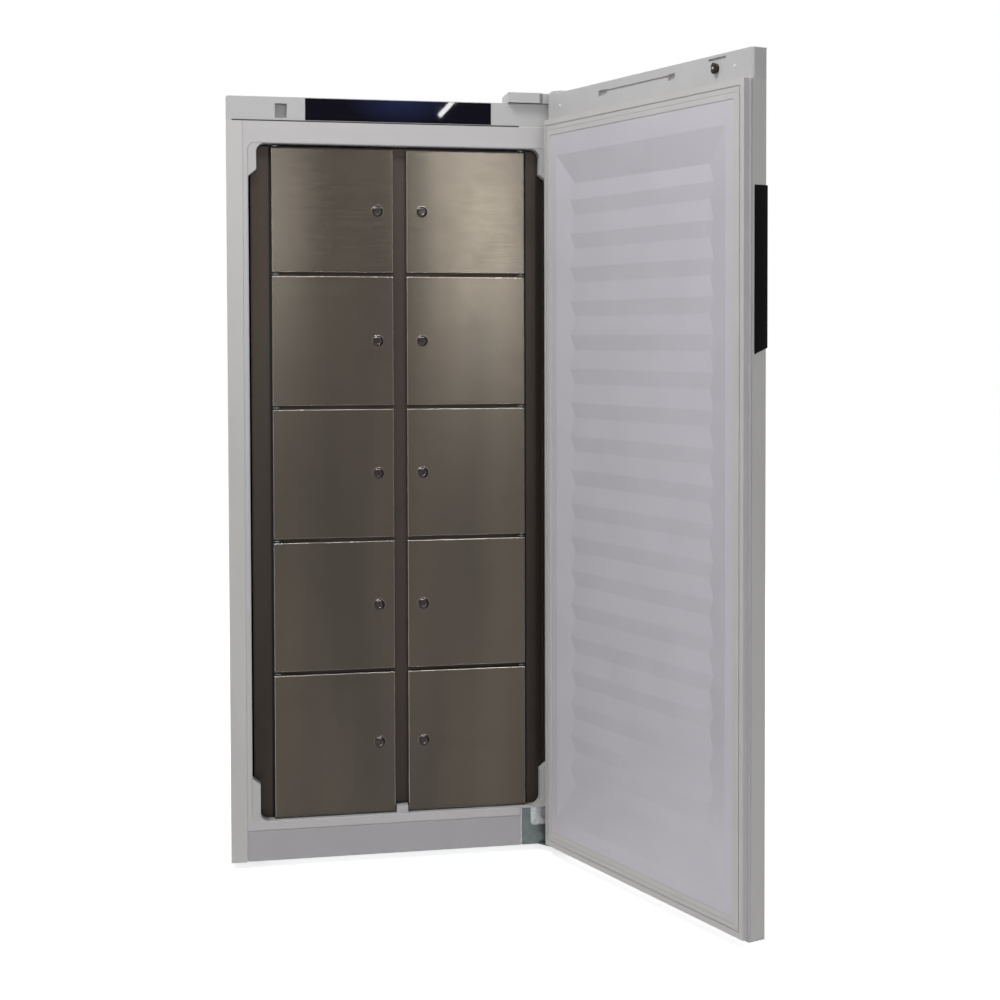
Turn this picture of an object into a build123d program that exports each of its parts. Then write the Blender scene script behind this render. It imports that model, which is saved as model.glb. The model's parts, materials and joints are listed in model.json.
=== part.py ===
from build123d import *
from math import acos, cos, degrees, pi, radians, sin, sqrt
import os

os.makedirs("parts", exist_ok=True)

# Upright refrigerator with ten locker compartments, in millimetres.
# X runs to the right, Y to the back from the plane that the door seals on, Z up from the floor.

# Locker doors and rows
locker_door_width = 261.0
bottom_row_height = 310.0
middle_row_height = 281.0
middle_rows = 3
top_row_height = 267.0
row_gap = 8.0
sill_gap = 2.0
head_gap = 8.0
centre_gap = 29.0
side_strip = 44.5
locker_sheet = 1.2
weld_gap = 0.2
carcass_corner = 11.0
locker_set_back = 30.0
locker_depth = 410.0
locker_door_face = 14.0
locker_door_clearance = 0.5
strip_overlap = 13.5
post_width = 52.0
post_foot = 17.0
shelf_rise = 8.0
shelf_lip = 10.0
carcass_side_gap = 4.0
carcass_head_gap = 3.0
vent_length = 90.0
vent_width = 8.0
vent_pitch = 24.0
vent_rows = 3

# Locker hinges and locks
pivot_inset = 7.5
pivot_radius = 2.0
pivot_clearance = 0.05
pivot_corner_radius = 9.5
pivot_reach = 3.0
tab_width = 17.0
tab_thickness = 2.0
tab_overhang = 7.0
lock_inset = 34.0
bezel_radius = 11.5
bezel_proud = 3.0
bezel_chamfer = 1.5
housing_fit = 0.1
barrel_radius = 9.0
plug_radius = 6.0
plug_clearance = 0.05
barrel_length = 18.0
lock_nut_radius = 13.0
lock_nut_thickness = 3.0
cam_thickness = 2.0
cam_width = 14.0
cam_reach = 30.0
cam_gap = 0.8
keyway_width = 1.6
keyway_length = 7.0
keyway_depth = 2.5

# Liner and opening
liner_sheet = 2.0
liner_flange = 12.0
opening_corner = 15.0
sill_rim = 20.0
head_rim = 49.0
corner_block_width = 17.0
corner_block_height = 56.0
corner_block_slope = 14.0
lower_block_height = 80.0
corner_block_depth = 28.0
spacer_width = 25.0
spacer_height = 16.0
spacer_depth = 22.0
duct_gap = 6.0
duct_sheet = 1.5
duct_fit = 0.3
duct_flange = 13.5
return_rise = 70.0
return_length = 90.0
return_width = 10.0
return_pitch = 110.0
return_step = 22.0
return_columns = 5
return_rows = 4
evaporator_space = 207.5
step_clearance = 10.0

# Cabinet
foot_height = 14.0
shell_sheet = 1.0
shell_flange = 34.0
shell_bend = 2.0
back_foam = 60.0
back_bead = 12.0
back_bead_end = 120.0
panel_foot_gap = 1.0
lower_panel_height = 66.0
lower_panel_gap = 3.0
lower_panel_fit = 0.4
apron_set_back = 4.5
apron_sheet = 2.0
control_panel_height = 50.0
control_panel_depth = 38.5
control_panel_set_back = 1.5
control_panel_wall = 2.5
control_panel_corner = 5.0
glass_left = 203.0
glass_right = 200.0
glass_margin = 1.5
glass_thickness = 2.0
glass_proud = 0.2
glass_fit = 0.2
deck_sheet = 1.5
deck_height = 26.0
room_height = 276.0
step_foam = 50.0
roof_foam = 46.5
rail_width = 40.0
rail_inset = 40.0
rail_sheet = 2.0
foot_radius = 20.0
foot_pad = 10.0
foot_chamfer = 1.5
foot_slope = 4.0
foot_collar_radius = 8.0
foot_stud_radius = 4.0
foot_front = 75.0
foot_back_inset = 68.0

# Main door
door_side_gap = 1.0
door_foot_gap = 7.0
door_rise = 16.0
door_thickness = 50.0
door_gap = 0.4
door_opening = 110.0
door_sheet = 1.0
door_bottom_cap_height = 3.0
door_cap_height = 58.0
door_cap_depth = 16.0
door_cap_wall = 3.0
door_cap_lid = 2.0
door_cap_corner = 8.0
door_flange_depth = 12.0
door_rim_depth = 5.0
gasket_width = 23.0
gasket_edge = 3.0
gasket_hinge_edge = 11.0
gasket_bevel_width = 7.0
gasket_bevel = 1.6
gasket_foot = 2.0
gasket_groove = 3.0
groove_width = 7.0
plateau_depth = 1.5
plateau_corner = 10.0
field_side = 29.0
field_head = 50.0
field_foot = 40.0
field_slope = 63.0
valley_depth = 11.5
crest_depth = 8.7
crest_count = 18
crest_fall = 32.0
top_facet = 65.0
first_rise = 35.0
foot_facet = 85.0
rib_overshoot = 1.0
recess_drop = 12.5
recess_length = 260.0
recess_width = 13.0
recess_depth = 1.2
recess_end_inset = 16.0
recess_end_length = 27.0
recess_end_width = 10.0
recess_end_depth = 2.0

# Main hinges
hinge_inset = 22.0
hinge_forward = 38.0
pin_radius = 5.0
pin_clearance = 0.05
pin_stop = 2.0
pin_tip_gap = 1.0
bush_wall = 2.0
bush_length = 16.0
bush_flange = 2.6
hinge_plate = 3.0
arm_clearance = 1.0
arm_width = 36.0
plate_length = 60.0
plate_width = 66.0
plate_set_back = 12.0
plate_inset = 4.0
plate_corner = 8.0
cover_left = 236.0
cover_front = 13.0
cover_step = 5.0
cover_back = 78.0
cover_wall = 2.0
cover_nose_gap = 0.5
cover_neck = 70.0
cover_corner = 6.0
cover_edge = 1.2
cover_height = 22.5
bracket_left = 266.0
bracket_recess = 4.0
bracket_upper_width = 19.0
bracket_upper_top = 82.0
bracket_lower_top = 43.0
bracket_lower_width = 94.0
bracket_bevel = 6.0
bracket_screw_drop = 12.0
bracket_screw_left = 4.0
bracket_screw_right = 10.0
tongue_root = 48.0
tongue_radius = 16.0
tongue_clearance = 2.0

# Door lock and its keeper
lock_side = 258.0
lock_drop = 26.0
lock_barrel_radius = 11.0
lock_plug_radius = 6.0
lock_barrel_depth = 10.0
lock_tail = 8.0
barrel_nut_edge = 4.0
barrel_nut_thickness = 4.0
lock_recess_left = 38.0
lock_recess_right = 16.0
lock_recess_half = 17.0
lock_recess_corner = 2.0
lock_recess_depth = 0.9
cap_slot_offset = 11.0
cap_slot_drop = 4.5
cap_slot_length = 52.0
cap_slot_width = 2.6
hook_radius = 20.0
hook_plate = 3.0
hook_gap = 0.3
hook_flag_depth = 8.0
hook_width = 8.0
hook_finger = 22.0
hook_flag = 8.0
keeper_left = 267.0
keeper_width = 25.0
keeper_low = 5.0
keeper_height = 31.0
keeper_undercut = 12.0
keeper_depth = 20.0
keeper_wall = 1.5
keeper_corner = 2.0
keeper_fit = 0.5

# Grip along the free edge of the door
grip_drop = 252.0
grip_length = 312.0
grip_thickness = 3.0
grip_proud = 5.0
grip_wrap = 34.0
grip_start = 18.0
grip_slant = 12.0
grip_edge = 1.2
finger_groove_edge = 8.0
finger_groove_width = 17.0
finger_groove_depth = 3.0

# Cooling unit
fan_height = 1240.0
fan_frame = 160.0
fan_corner = 8.0
fan_hole_inset = 9.0
fan_hole_radius = 2.5
fan_bore_radius = 71.0
fan_depth = 38.0
fan_hub_radius = 22.0
fan_tip_radius = 66.0
fan_blades = 5
blade_chord = 34.0
blade_sheet = 1.2
blade_root = 3.0
blade_tip_pitch = 0.75
rotor_set_back = 2.0
hub_gap = 0.4
fan_motor_radius = 24.0
fan_motor_length = 18.0
fan_motor_gap = 2.0
spider_width = 9.0
spider_depth = 4.0
spider_root = 2.0
shaft_set_back = 3.0
fan_shaft_radius = 2.5
fan_shaft_clearance = 0.05
evaporator_foot = 560.0
evaporator_width = 480.0
evaporator_height = 260.0
evaporator_depth = 76.0
evaporator_fins = 13
fin_set_back = 12.0
fin_sheet = 0.8
coil_radius = 5.0
coil_rows = 5
end_plate = 1.5
compressor_x = -150.0
compressor_radius = 78.0
compressor_height = 150.0
pot_clearance = 2.0
pot_foot_radius = 20.0
pot_knuckle = 25.0
crown_rise = 40.0
seam_height = 60.0
seam_width = 8.0
seam_proud = 3.0
foot_plate_sheet = 3.0
foot_plate_corner = 12.0
foot_plate_edge = 16.0
mount_reach = 22.0
mount_angle = 39.0
mount_height = 14.0
mount_radius = 14.0
mount_hole_radius = 7.0
mount_neck = 6.0
mount_fit = 0.3
condenser_x = 180.0
condenser_width = 190.0
condenser_height = 190.0
condenser_depth = 50.0
condenser_fins = 11
condenser_set_back = 40.0
condenser_fin_foot = 6.0
condenser_rows = 4
tray_width = 220.0
tray_depth = 130.0
tray_height = 24.0
tray_wall = 1.5
tray_corner = 12.0
tray_slope = 6.0
pipe_radius = 3.5
pipe_bend = 21.0
pipe_side = 60.0
outlet_rise = 22.0
discharge_rise = 40.0
suction_step = 40.0
suction_rise = 60.0
terminal_width = 90.0
terminal_height = 70.0
terminal_depth = 40.0
terminal_corner = 4.0
inlet_width = 28.0
inlet_height = 20.0
inlet_depth = 18.0
inlet_corner = 3.0
blade_width = 2.0
blade_height = 4.0
blade_side = 7.0
blade_drop = 2.0
blade_rise = 3.0
blade_set_back = 4.0
screw_head_radius = 4.0
screw_head_height = 1.2
screw_head_slope = 25.0
panel_screw_inset = 12.0
panel_screw_end = 14.0
panel_screw_rows = 5
screw_radius = 2.0

# Places that follow from the sizes above
row_heights = [bottom_row_height] + [middle_row_height] * middle_rows + [top_row_height]
row_total = sum(row_heights) + row_gap * (len(row_heights) - 1)
base_z = foot_height
lower_panel_z = base_z + panel_foot_gap
rim_z = lower_panel_z + lower_panel_height
sill_z = rim_z + sill_rim
opening_height = sill_gap + row_total + head_gap
head_z = sill_z + opening_height
panel_z = head_z + head_rim
top_z = panel_z + control_panel_height
row_floors = []
for height in row_heights:
    row_floors.append(sill_z + sill_gap + sum(row_heights[:len(row_floors)]) + row_gap * len(row_floors))

door_inner = centre_gap / 2
door_outer = door_inner + locker_door_width
carcass_half = door_outer + side_strip
opening_half = carcass_half + carcass_side_gap
liner_half = opening_half + liner_flange
shell_half = liner_half + shell_flange
strip_inner = door_outer - strip_overlap

carcass_front = locker_set_back
carcass_back = carcass_front + locker_depth
carcass_top = head_z - carcass_head_gap
duct_y = carcass_back + duct_gap
liner_back = duct_y + duct_sheet + evaporator_space
back_y = liner_back + liner_sheet + back_foam
cabinet_depth = back_y + shell_sheet
step_y = carcass_back + step_clearance
room_y = step_y + liner_sheet + step_foam
room_roof = base_z + room_height
step_z = room_roof + deck_sheet + roof_foam + liner_sheet
deck_z = base_z + deck_height
deck_front = apron_set_back + apron_sheet
foam_front = max(liner_sheet, shell_bend)
rail_top = deck_z - deck_sheet
panel_back = control_panel_set_back + control_panel_depth
recess_left = bracket_left - bracket_recess
recess_top = base_z + bracket_upper_top + bracket_recess / 2

door_half = shell_half - door_side_gap
door_foot = base_z + door_foot_gap
door_top = top_z + door_rise
cap_z = door_top - door_cap_height
skin_foot = door_foot + door_bottom_cap_height
skin_top = door_top - door_cap_lid
hinge_x = shell_half - hinge_inset
hinge_y = -hinge_forward
gasket_low = skin_foot + gasket_foot
plateau_half = door_half - gasket_edge - gasket_width - groove_width
plateau_low = gasket_low + gasket_width + groove_width
plateau_high = cap_z - gasket_width - groove_width
field_half = plateau_half - field_side
field_low = plateau_low + field_foot
field_high = plateau_high - field_head
lock_x = -lock_side
lock_z = door_top - lock_drop
arm_z = door_top + arm_clearance
tongue_z = lower_panel_z
bush_radius = pin_radius + pin_clearance + bush_wall
bracket_face = apron_set_back - hinge_plate
bracket_screws = [
    (bracket_left + bracket_upper_width / 2, base_z + bracket_upper_top - bracket_screw_drop),
    (bracket_left + bracket_upper_width + bracket_screw_left, base_z + bracket_lower_top / 2),
    (bracket_left + bracket_lower_width / 2 + bracket_screw_right, base_z + bracket_lower_top / 2),
]
panel_screw_x = shell_half - panel_screw_inset
panel_screw_low = room_roof + panel_screw_end
panel_screw_step = (top_z - panel_screw_end - panel_screw_low) / (panel_screw_rows - 1)
panel_screws = [
    (side * panel_screw_x, panel_screw_low + step * panel_screw_step)
    for side in (-1, 1) for step in range(panel_screw_rows)
]
mount_across = 2 * (compressor_radius + mount_reach) * cos(radians(mount_angle))
mount_deep = 2 * (compressor_radius + mount_reach) * sin(radians(mount_angle))

pivot_x = door_outer - pivot_inset
locker_door_back = carcass_front - locker_door_clearance
pivot_y = locker_door_back - pivot_corner_radius
lock_plate_y = locker_door_face - bezel_proud
cam_y = lock_plate_y + barrel_length + bezel_proud + cam_gap

print("cabinet width", 2 * shell_half, "depth", cabinet_depth, "height", door_top + arm_clearance)


def front_view(y):
    """Plane seen from the front at depth y: a negative extrusion goes to the back."""
    return Plane.XZ.offset(-y)


def side_view(x):
    """Plane seen from the side at width x, with Y and Z in it: extruding goes to the right."""
    return Plane.YZ.offset(x)


def plan_view(z):
    """Level plane at height z."""
    return Plane.XY.offset(z)


def span(left, right, low, high, mode=Mode.ADD):
    """Rectangle given by its four edges, in the sketch that is open."""
    with Locations(((left + right) / 2, (low + high) / 2)):
        Rectangle(right - left, high - low, mode=mode)


door_turn = Vector(1, 0, 0).rotate(Axis.Z, door_opening)
door_out = Vector(0, -1, 0).rotate(Axis.Z, door_opening)


def door_point(x, y, z=0.0):
    """Where the open door holds a point that the closed door has at x, y, z."""
    arm = Vector(x - hinge_x, y - hinge_y, 0).rotate(Axis.Z, door_opening)
    return Vector(hinge_x, hinge_y, z) + arm


def door_level(z):
    """Level plane of the open door, with the closed door's X and Y in it."""
    return Plane(origin=door_point(0, 0, z), x_dir=door_turn, z_dir=(0, 0, 1))


def door_face(depth):
    """Plane of the open door parallel to its face, depth outwards from the sealing face."""
    return Plane(origin=door_point(0, -door_gap - depth), x_dir=door_turn, z_dir=door_out)


def door_section(x):
    """Upright plane across the open door, with depth and Z in it: extruding goes to -X."""
    return Plane(origin=door_point(x, -door_gap), x_dir=door_out, z_dir=-door_turn)


def door_y(depth):
    """The closed door's Y at a depth from the sealing face."""
    return -door_gap - depth


# Hollow of the liner
# The space for the lockers reaches the floor of the opening, and behind them it ends on the
# step over the machine room. It is made bare, and again larger all round by the liner's sheet.
def cavity(grow):
    width = 2 * (opening_half + grow)
    with BuildPart() as hollow:
        with BuildSketch(front_view(0)) as whole:
            with Locations((0, sill_z + opening_height / 2)):
                RectangleRounded(width, opening_height + 2 * grow, opening_corner + grow)
        extrude(amount=-(step_y + grow))
        with BuildSketch(front_view(0)) as upper:
            with Locations((0, (step_z + head_z) / 2)):
                RectangleRounded(width, head_z - step_z + 2 * grow, opening_corner + grow)
        extrude(amount=-(liner_back + grow))
    return hollow.part


inner_cavity = cavity(0)
outer_cavity = cavity(liner_sheet)


# Outer shell
# One folded steel wrap: sides, top and narrow front flanges, cut back for the control panel.
def make_outer_shell():
    with BuildPart() as outer_shell:
        with BuildSketch(plan_view(base_z)) as wrap:
            span(-shell_half, shell_half, 0, back_y)
            fillet(wrap.vertices().group_by(Axis.Y)[0], shell_bend)
        extrude(amount=top_z - base_z)
        with BuildSketch(plan_view(base_z)) as room:
            span(-shell_half + shell_sheet, shell_half - shell_sheet, shell_sheet, back_y)
            fillet(room.vertices().group_by(Axis.Y)[0], shell_bend - shell_sheet)
        extrude(amount=top_z - base_z - shell_sheet, mode=Mode.SUBTRACT)
        with BuildSketch(front_view(0)) as front:
            span(-liner_half, liner_half, base_z, panel_z)
        extrude(amount=-2 * shell_bend, mode=Mode.SUBTRACT)
        with BuildSketch(front_view(0)) as panel_seat:
            span(-shell_half, shell_half, panel_z, top_z)
        extrude(amount=-panel_back, mode=Mode.SUBTRACT)
        with BuildSketch(front_view(0)) as tongue_notch:
            span(liner_half, hinge_x + tongue_radius + tongue_clearance,
                 base_z, tongue_z + hinge_plate + tongue_clearance / 2)
        extrude(amount=-2 * shell_bend, mode=Mode.SUBTRACT)
    outer_shell.part.label = "outer_shell"
    export_step(outer_shell.part, "parts/outer_shell.step")


# Back panel
# Flat sheet over the insulation, with two shallow upright stiffening beads.
def make_back_panel():
    half = shell_half - shell_sheet
    with BuildPart() as back_panel:
        with BuildSketch(plan_view(room_roof + deck_sheet)) as outline:
            span(-half, half, back_y, cabinet_depth)
        extrude(amount=top_z - shell_sheet - room_roof - deck_sheet)
        with BuildSketch(front_view(cabinet_depth)) as beads:
            for x in (-half / 2, half / 2):
                with Locations((x, (room_roof + top_z) / 2)):
                    SlotOverall(top_z - room_roof - 2 * back_bead_end, back_bead, rotation=90)
        extrude(amount=shell_sheet / 2, mode=Mode.SUBTRACT)
        with BuildSketch(front_view(cabinet_depth)) as holes:
            with Locations(panel_screws):
                Circle(screw_radius)
        extrude(amount=shell_sheet, mode=Mode.SUBTRACT)
    back_panel.part.label = "back_panel"
    export_step(back_panel.part, "parts/back_panel.step")


# Inner liner
# Vacuum-formed box with a flat rim round the opening. The rim is notched at the lower right
# for the bottom hinge.
def make_inner_liner():
    with BuildPart() as inner_liner:
        add(outer_cavity)
        with BuildSketch(front_view(0)) as rim:
            span(-liner_half, liner_half, rim_z, panel_z)
        extrude(amount=-liner_sheet)
        with BuildSketch(front_view(0)) as notch:
            span(recess_left, liner_half, rim_z, recess_top)
        extrude(amount=-liner_sheet, mode=Mode.SUBTRACT)
        add(inner_cavity, mode=Mode.SUBTRACT)
    inner_liner.part.label = "inner_liner"
    export_step(inner_liner.part, "parts/inner_liner.step")


# Insulation of the cabinet
# Foam between the shell and the liner. It leaves the machine room and the panel's seat free.
def make_insulation():
    half = shell_half - shell_sheet
    with BuildPart() as insulation:
        with BuildSketch(side_view(-half)) as profile:
            Polygon(
                (deck_front, deck_z),
                (room_y - deck_sheet, deck_z),
                (room_y - deck_sheet, room_roof + deck_sheet),
                (back_y, room_roof + deck_sheet),
                (back_y, top_z - shell_sheet),
                (panel_back, top_z - shell_sheet),
                (panel_back, panel_z),
                (foam_front, panel_z),
                (foam_front, rim_z),
                (deck_front, rim_z),
                align=None,
            )
        extrude(amount=2 * half)
        with BuildSketch(front_view(0)) as hinge_seat:
            span(recess_left, half, rim_z, recess_top)
        extrude(amount=-deck_front, mode=Mode.SUBTRACT)
        add(outer_cavity, mode=Mode.SUBTRACT)
    insulation.part.label = "insulation"
    export_step(insulation.part, "parts/insulation.step")


# Base deck
# Folded sheet under the insulation, which steps up over the machine room, and the front apron
# that carries the lower panel and the bottom hinge.
def make_base_deck():
    half = shell_half - shell_sheet
    with BuildPart() as base_deck:
        with BuildSketch(side_view(-half)) as fold:
            Polygon(
                (deck_front, deck_z - deck_sheet),
                (room_y, deck_z - deck_sheet),
                (room_y, room_roof),
                (back_y, room_roof),
                (back_y, room_roof + deck_sheet),
                (room_y - deck_sheet, room_roof + deck_sheet),
                (room_y - deck_sheet, deck_z),
                (deck_front, deck_z),
                align=None,
            )
        extrude(amount=2 * half)
        with BuildSketch(front_view(apron_set_back)) as apron:
            span(-half, half, lower_panel_z, rim_z - shell_sheet)
            span(recess_left, half, lower_panel_z, recess_top)
        extrude(amount=-apron_sheet)
    base_deck.part.label = "base_deck"
    export_step(base_deck.part, "parts/base_deck.step")


# Base frame
# Two open steel channels along the cabinet, two cross channels and the machine room's floor.
def make_base_frame():
    half = shell_half - shell_sheet
    rail_x = half - rail_inset - rail_width / 2
    rear = back_y - shell_sheet
    with BuildPart() as base_frame:
        for x in (-rail_x, rail_x):
            with BuildSketch(front_view(deck_front)) as channel:
                span(x - rail_width / 2, x + rail_width / 2, base_z, rail_top)
                span(x - rail_width / 2 + rail_sheet, x + rail_width / 2 - rail_sheet,
                     base_z, rail_top - rail_sheet, mode=Mode.SUBTRACT)
            extrude(amount=-(rear - deck_front))
        for y in (deck_front, rear - rail_sheet):
            with BuildSketch(front_view(y)) as cross_member:
                span(-rail_x + rail_width / 2, rail_x - rail_width / 2, base_z, rail_top)
            extrude(amount=-rail_sheet)
        with BuildSketch(plan_view(rail_top)) as room_floor:
            span(-half, half, room_y, rear)
        extrude(amount=deck_sheet)
    base_frame.part.label = "base_frame"
    export_step(base_frame.part, "parts/base_frame.step")


# Levelling feet
# Four turned feet with a wide pad and a stud up into the rails.
def make_levelling_feet():
    rail_x = shell_half - shell_sheet - rail_inset - rail_width / 2
    with BuildPart() as levelling_feet:
        for x in (-rail_x, rail_x):
            for y in (foot_front, back_y - foot_back_inset):
                with BuildSketch(Plane(origin=(x, y, 0), x_dir=(1, 0, 0), z_dir=(0, -1, 0))) as turned:
                    Polygon(
                        (0, 0),
                        (foot_radius - foot_chamfer, 0),
                        (foot_radius, foot_chamfer),
                        (foot_radius, foot_pad - foot_slope),
                        (foot_collar_radius, foot_pad),
                        (foot_stud_radius, foot_pad),
                        (foot_stud_radius, rail_top - rail_sheet),
                        (0, rail_top - rail_sheet),
                        align=None,
                    )
                revolve(axis=Axis((x, y, 0), (0, 0, 1)))
    levelling_feet.part.label = "levelling_feet"
    export_step(levelling_feet.part, "parts/levelling_feet.step")


# Lower panel
# Pressed steel strip with folded edges, clipped in front of the apron.
def make_lower_panel():
    left = -liner_half + lower_panel_gap
    high = rim_z - lower_panel_fit
    with BuildPart() as lower_panel:
        with BuildSketch(side_view(left)) as fold:
            span(0, apron_set_back, lower_panel_z, high)
            span(shell_sheet, apron_set_back, lower_panel_z + shell_sheet, high - shell_sheet,
                 mode=Mode.SUBTRACT)
            fillet(fold.vertices().group_by(Axis.X)[0], shell_sheet)
        extrude(amount=recess_left - left)
    lower_panel.part.label = "lower_panel"
    export_step(lower_panel.part, "parts/lower_panel.step")


# Control panel
# Moulded housing across the head of the cabinet, open at the back, with a pocket for the
# display glass and the opening that the door's lock enters.
def make_control_panel():
    face = control_panel_set_back
    glass_seat = face - glass_proud + glass_thickness
    wall = glass_seat - face + control_panel_wall / 2
    with BuildPart() as control_panel:
        with BuildSketch(front_view(face)) as outline:
            span(-shell_half, shell_half, panel_z, top_z)
            fillet(outline.vertices().group_by(Axis.Y)[-1], control_panel_corner)
        extrude(amount=-control_panel_depth)
        with BuildSketch(front_view(face + wall)) as inside:
            span(-shell_half + control_panel_wall, shell_half - control_panel_wall,
                 panel_z + control_panel_wall, top_z - control_panel_wall)
        extrude(amount=-control_panel_depth, mode=Mode.SUBTRACT)
        with BuildSketch(front_view(face)) as pocket:
            span(-glass_left, glass_right, panel_z + glass_margin, top_z - glass_margin)
        extrude(amount=-(glass_seat - face), mode=Mode.SUBTRACT)
        with BuildSketch(front_view(face)) as lock_opening:
            span(-keeper_left, -keeper_left + keeper_width,
                 panel_z + keeper_low, panel_z + keeper_low + keeper_height)
            fillet(lock_opening.vertices(), keeper_corner)
        extrude(amount=-wall, mode=Mode.SUBTRACT)
    control_panel.part.label = "control_panel"
    export_step(control_panel.part, "parts/control_panel.step")


# Display glass
# Dark touch glass let into the control panel.
def make_display_glass():
    with BuildPart() as display_glass:
        with BuildSketch(front_view(control_panel_set_back - glass_proud)) as outline:
            span(-glass_left + glass_fit, glass_right - glass_fit,
                 panel_z + glass_margin + glass_fit, top_z - glass_margin - glass_fit)
        extrude(amount=-glass_thickness)
    display_glass.part.label = "display_glass"
    export_step(display_glass.part, "parts/display_glass.step")


# Lock keeper
# Box behind the control panel's opening. It is wider than the opening on one side, where the
# lock's hook turns in behind the wall.
def make_lock_keeper():
    wall = glass_thickness - glass_proud + control_panel_wall / 2
    mouth = control_panel_set_back + wall
    left = -keeper_left - keeper_wall
    right = -keeper_left + keeper_width + keeper_undercut
    low = panel_z + keeper_low - keeper_fit
    high = low + keeper_height + 2 * keeper_fit
    with BuildPart() as lock_keeper:
        with BuildSketch(front_view(mouth)) as outside:
            span(left - keeper_wall, right + keeper_wall, low - keeper_wall, high + keeper_wall)
        extrude(amount=-keeper_depth)
        with BuildSketch(front_view(mouth)) as inside:
            span(left, right, low, high)
        extrude(amount=-(keeper_depth - keeper_wall), mode=Mode.SUBTRACT)
    lock_keeper.part.label = "lock_keeper"
    export_step(lock_keeper.part, "parts/lock_keeper.step")


# Spacer blocks
# Four moulded blocks in the front corners of the liner, each with a slanted end, and the small
# block under the centre post.
def make_spacer_blocks():
    with BuildPart() as spacer_blocks:
        with BuildSketch(front_view(0)) as corners:
            with Locations((0, sill_z + opening_height / 2)):
                RectangleRounded(2 * opening_half, opening_height, opening_corner)
            inner = opening_half - corner_block_width
            with BuildSketch(mode=Mode.INTERSECT) as wedges:
                for side in (-1, 1):
                    Polygon(
                        (side * opening_half, head_z),
                        (side * inner, head_z),
                        (side * inner, head_z - corner_block_height),
                        (side * opening_half, head_z - corner_block_height - corner_block_slope),
                        align=None,
                    )
                    Polygon(
                        (side * opening_half, sill_z),
                        (side * inner, sill_z),
                        (side * inner, sill_z + lower_block_height),
                        (side * opening_half, sill_z + lower_block_height + corner_block_slope),
                        align=None,
                    )
        extrude(amount=-corner_block_depth)
        with BuildSketch(front_view(carcass_front - spacer_depth)) as centre:
            span(-spacer_width / 2, spacer_width / 2, sill_z, sill_z + spacer_height)
        extrude(amount=-spacer_depth)
    spacer_blocks.part.label = "spacer_blocks"
    export_step(spacer_blocks.part, "parts/spacer_blocks.step")


# Locker carcass
# Stainless panels welded along their edges: two sides, floor, roof, perforated back, a strip
# beside each column of doors and the lip over them.
def make_locker_carcass():
    sheet = locker_sheet
    inner = carcass_half - sheet - weld_gap
    relief = carcass_corner
    with BuildPart() as locker_carcass:
        with BuildSketch(plan_view(sill_z + relief)) as sides:
            for side in (-1, 1):
                with Locations((side * (carcass_half - sheet / 2), carcass_front + locker_depth / 2)):
                    Rectangle(sheet, locker_depth)
        extrude(amount=carcass_top - sill_z - 2 * relief)
        for z in (sill_z, carcass_top - sheet):
            with BuildSketch(plan_view(z)) as floor_or_roof:
                span(-inner + relief, inner - relief, carcass_front, carcass_back - sheet - weld_gap)
            extrude(amount=sheet)
        with BuildSketch(front_view(carcass_back - sheet)) as back:
            span(-inner, inner, sill_z, carcass_top)
            chamfer(back.vertices(), relief)
            for floor, height in zip(row_floors, row_heights):
                for side in (-1, 1):
                    with Locations((side * (door_inner + locker_door_width / 2), floor + height / 2)):
                        with GridLocations(0, vent_pitch, 1, vent_rows):
                            SlotOverall(vent_length, vent_width, mode=Mode.SUBTRACT)
        extrude(amount=-sheet)
        strip_low = sill_z + sheet + weld_gap
        strip_high = carcass_top - sheet - weld_gap
        with BuildSketch(front_view(carcass_front)) as strips_and_lip:
            span(-inner, inner, strip_low, strip_high)
            chamfer(strips_and_lip.vertices(), relief - weld_gap)
            span(-strip_inner, strip_inner, strip_low, strip_high, mode=Mode.SUBTRACT)
            span(-strip_inner + weld_gap, strip_inner - weld_gap, strip_high - 2 * row_gap, strip_high)
        extrude(amount=-sheet)
    locker_carcass.part.label = "locker_carcass"
    export_step(locker_carcass.part, "parts/locker_carcass.step")


# Locker divider
# Centre wall and the flat post in front of it, which the locks turn in behind.
def make_locker_divider():
    sheet = locker_sheet
    low = sill_z + sheet + weld_gap
    high = carcass_top - sheet - 2 * row_gap - 2 * weld_gap
    with BuildPart() as locker_divider:
        with BuildSketch(plan_view(low)) as wall:
            span(-sheet / 2, sheet / 2, carcass_front + sheet + weld_gap,
                 carcass_back - sheet - weld_gap)
        extrude(amount=carcass_top - sheet - weld_gap - low)
        with BuildSketch(front_view(carcass_front)) as post:
            span(-post_width / 2, post_width / 2, sill_z + post_foot, high)
        extrude(amount=-sheet)
    locker_divider.part.label = "locker_divider"
    export_step(locker_divider.part, "parts/locker_divider.step")


# Locker shelves
# Folded sheets between the rows, with a lip that closes the gap between two doors.
def make_locker_shelves():
    sheet = locker_sheet
    front = carcass_front + sheet + weld_gap
    rear = carcass_back - sheet - weld_gap
    with BuildPart() as locker_shelves:
        for floor, height in zip(row_floors[:-1], row_heights[:-1]):
            gap_z = floor + height + row_gap / 2
            shelf_z = gap_z + shelf_rise
            for side in (-1, 1):
                start = sheet / 2 + weld_gap if side > 0 else -carcass_half + sheet + weld_gap
                with BuildSketch(side_view(start)) as fold:
                    Polygon(
                        (front, gap_z - shelf_lip),
                        (front + sheet, gap_z - shelf_lip),
                        (front + sheet, shelf_z),
                        (rear, shelf_z),
                        (rear, shelf_z + sheet),
                        (front, shelf_z + sheet),
                        align=None,
                    )
                extrude(amount=carcass_half - sheet - sheet / 2 - 2 * weld_gap)
    locker_shelves.part.label = "locker_shelves"
    export_step(locker_shelves.part, "parts/locker_shelves.step")


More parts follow.
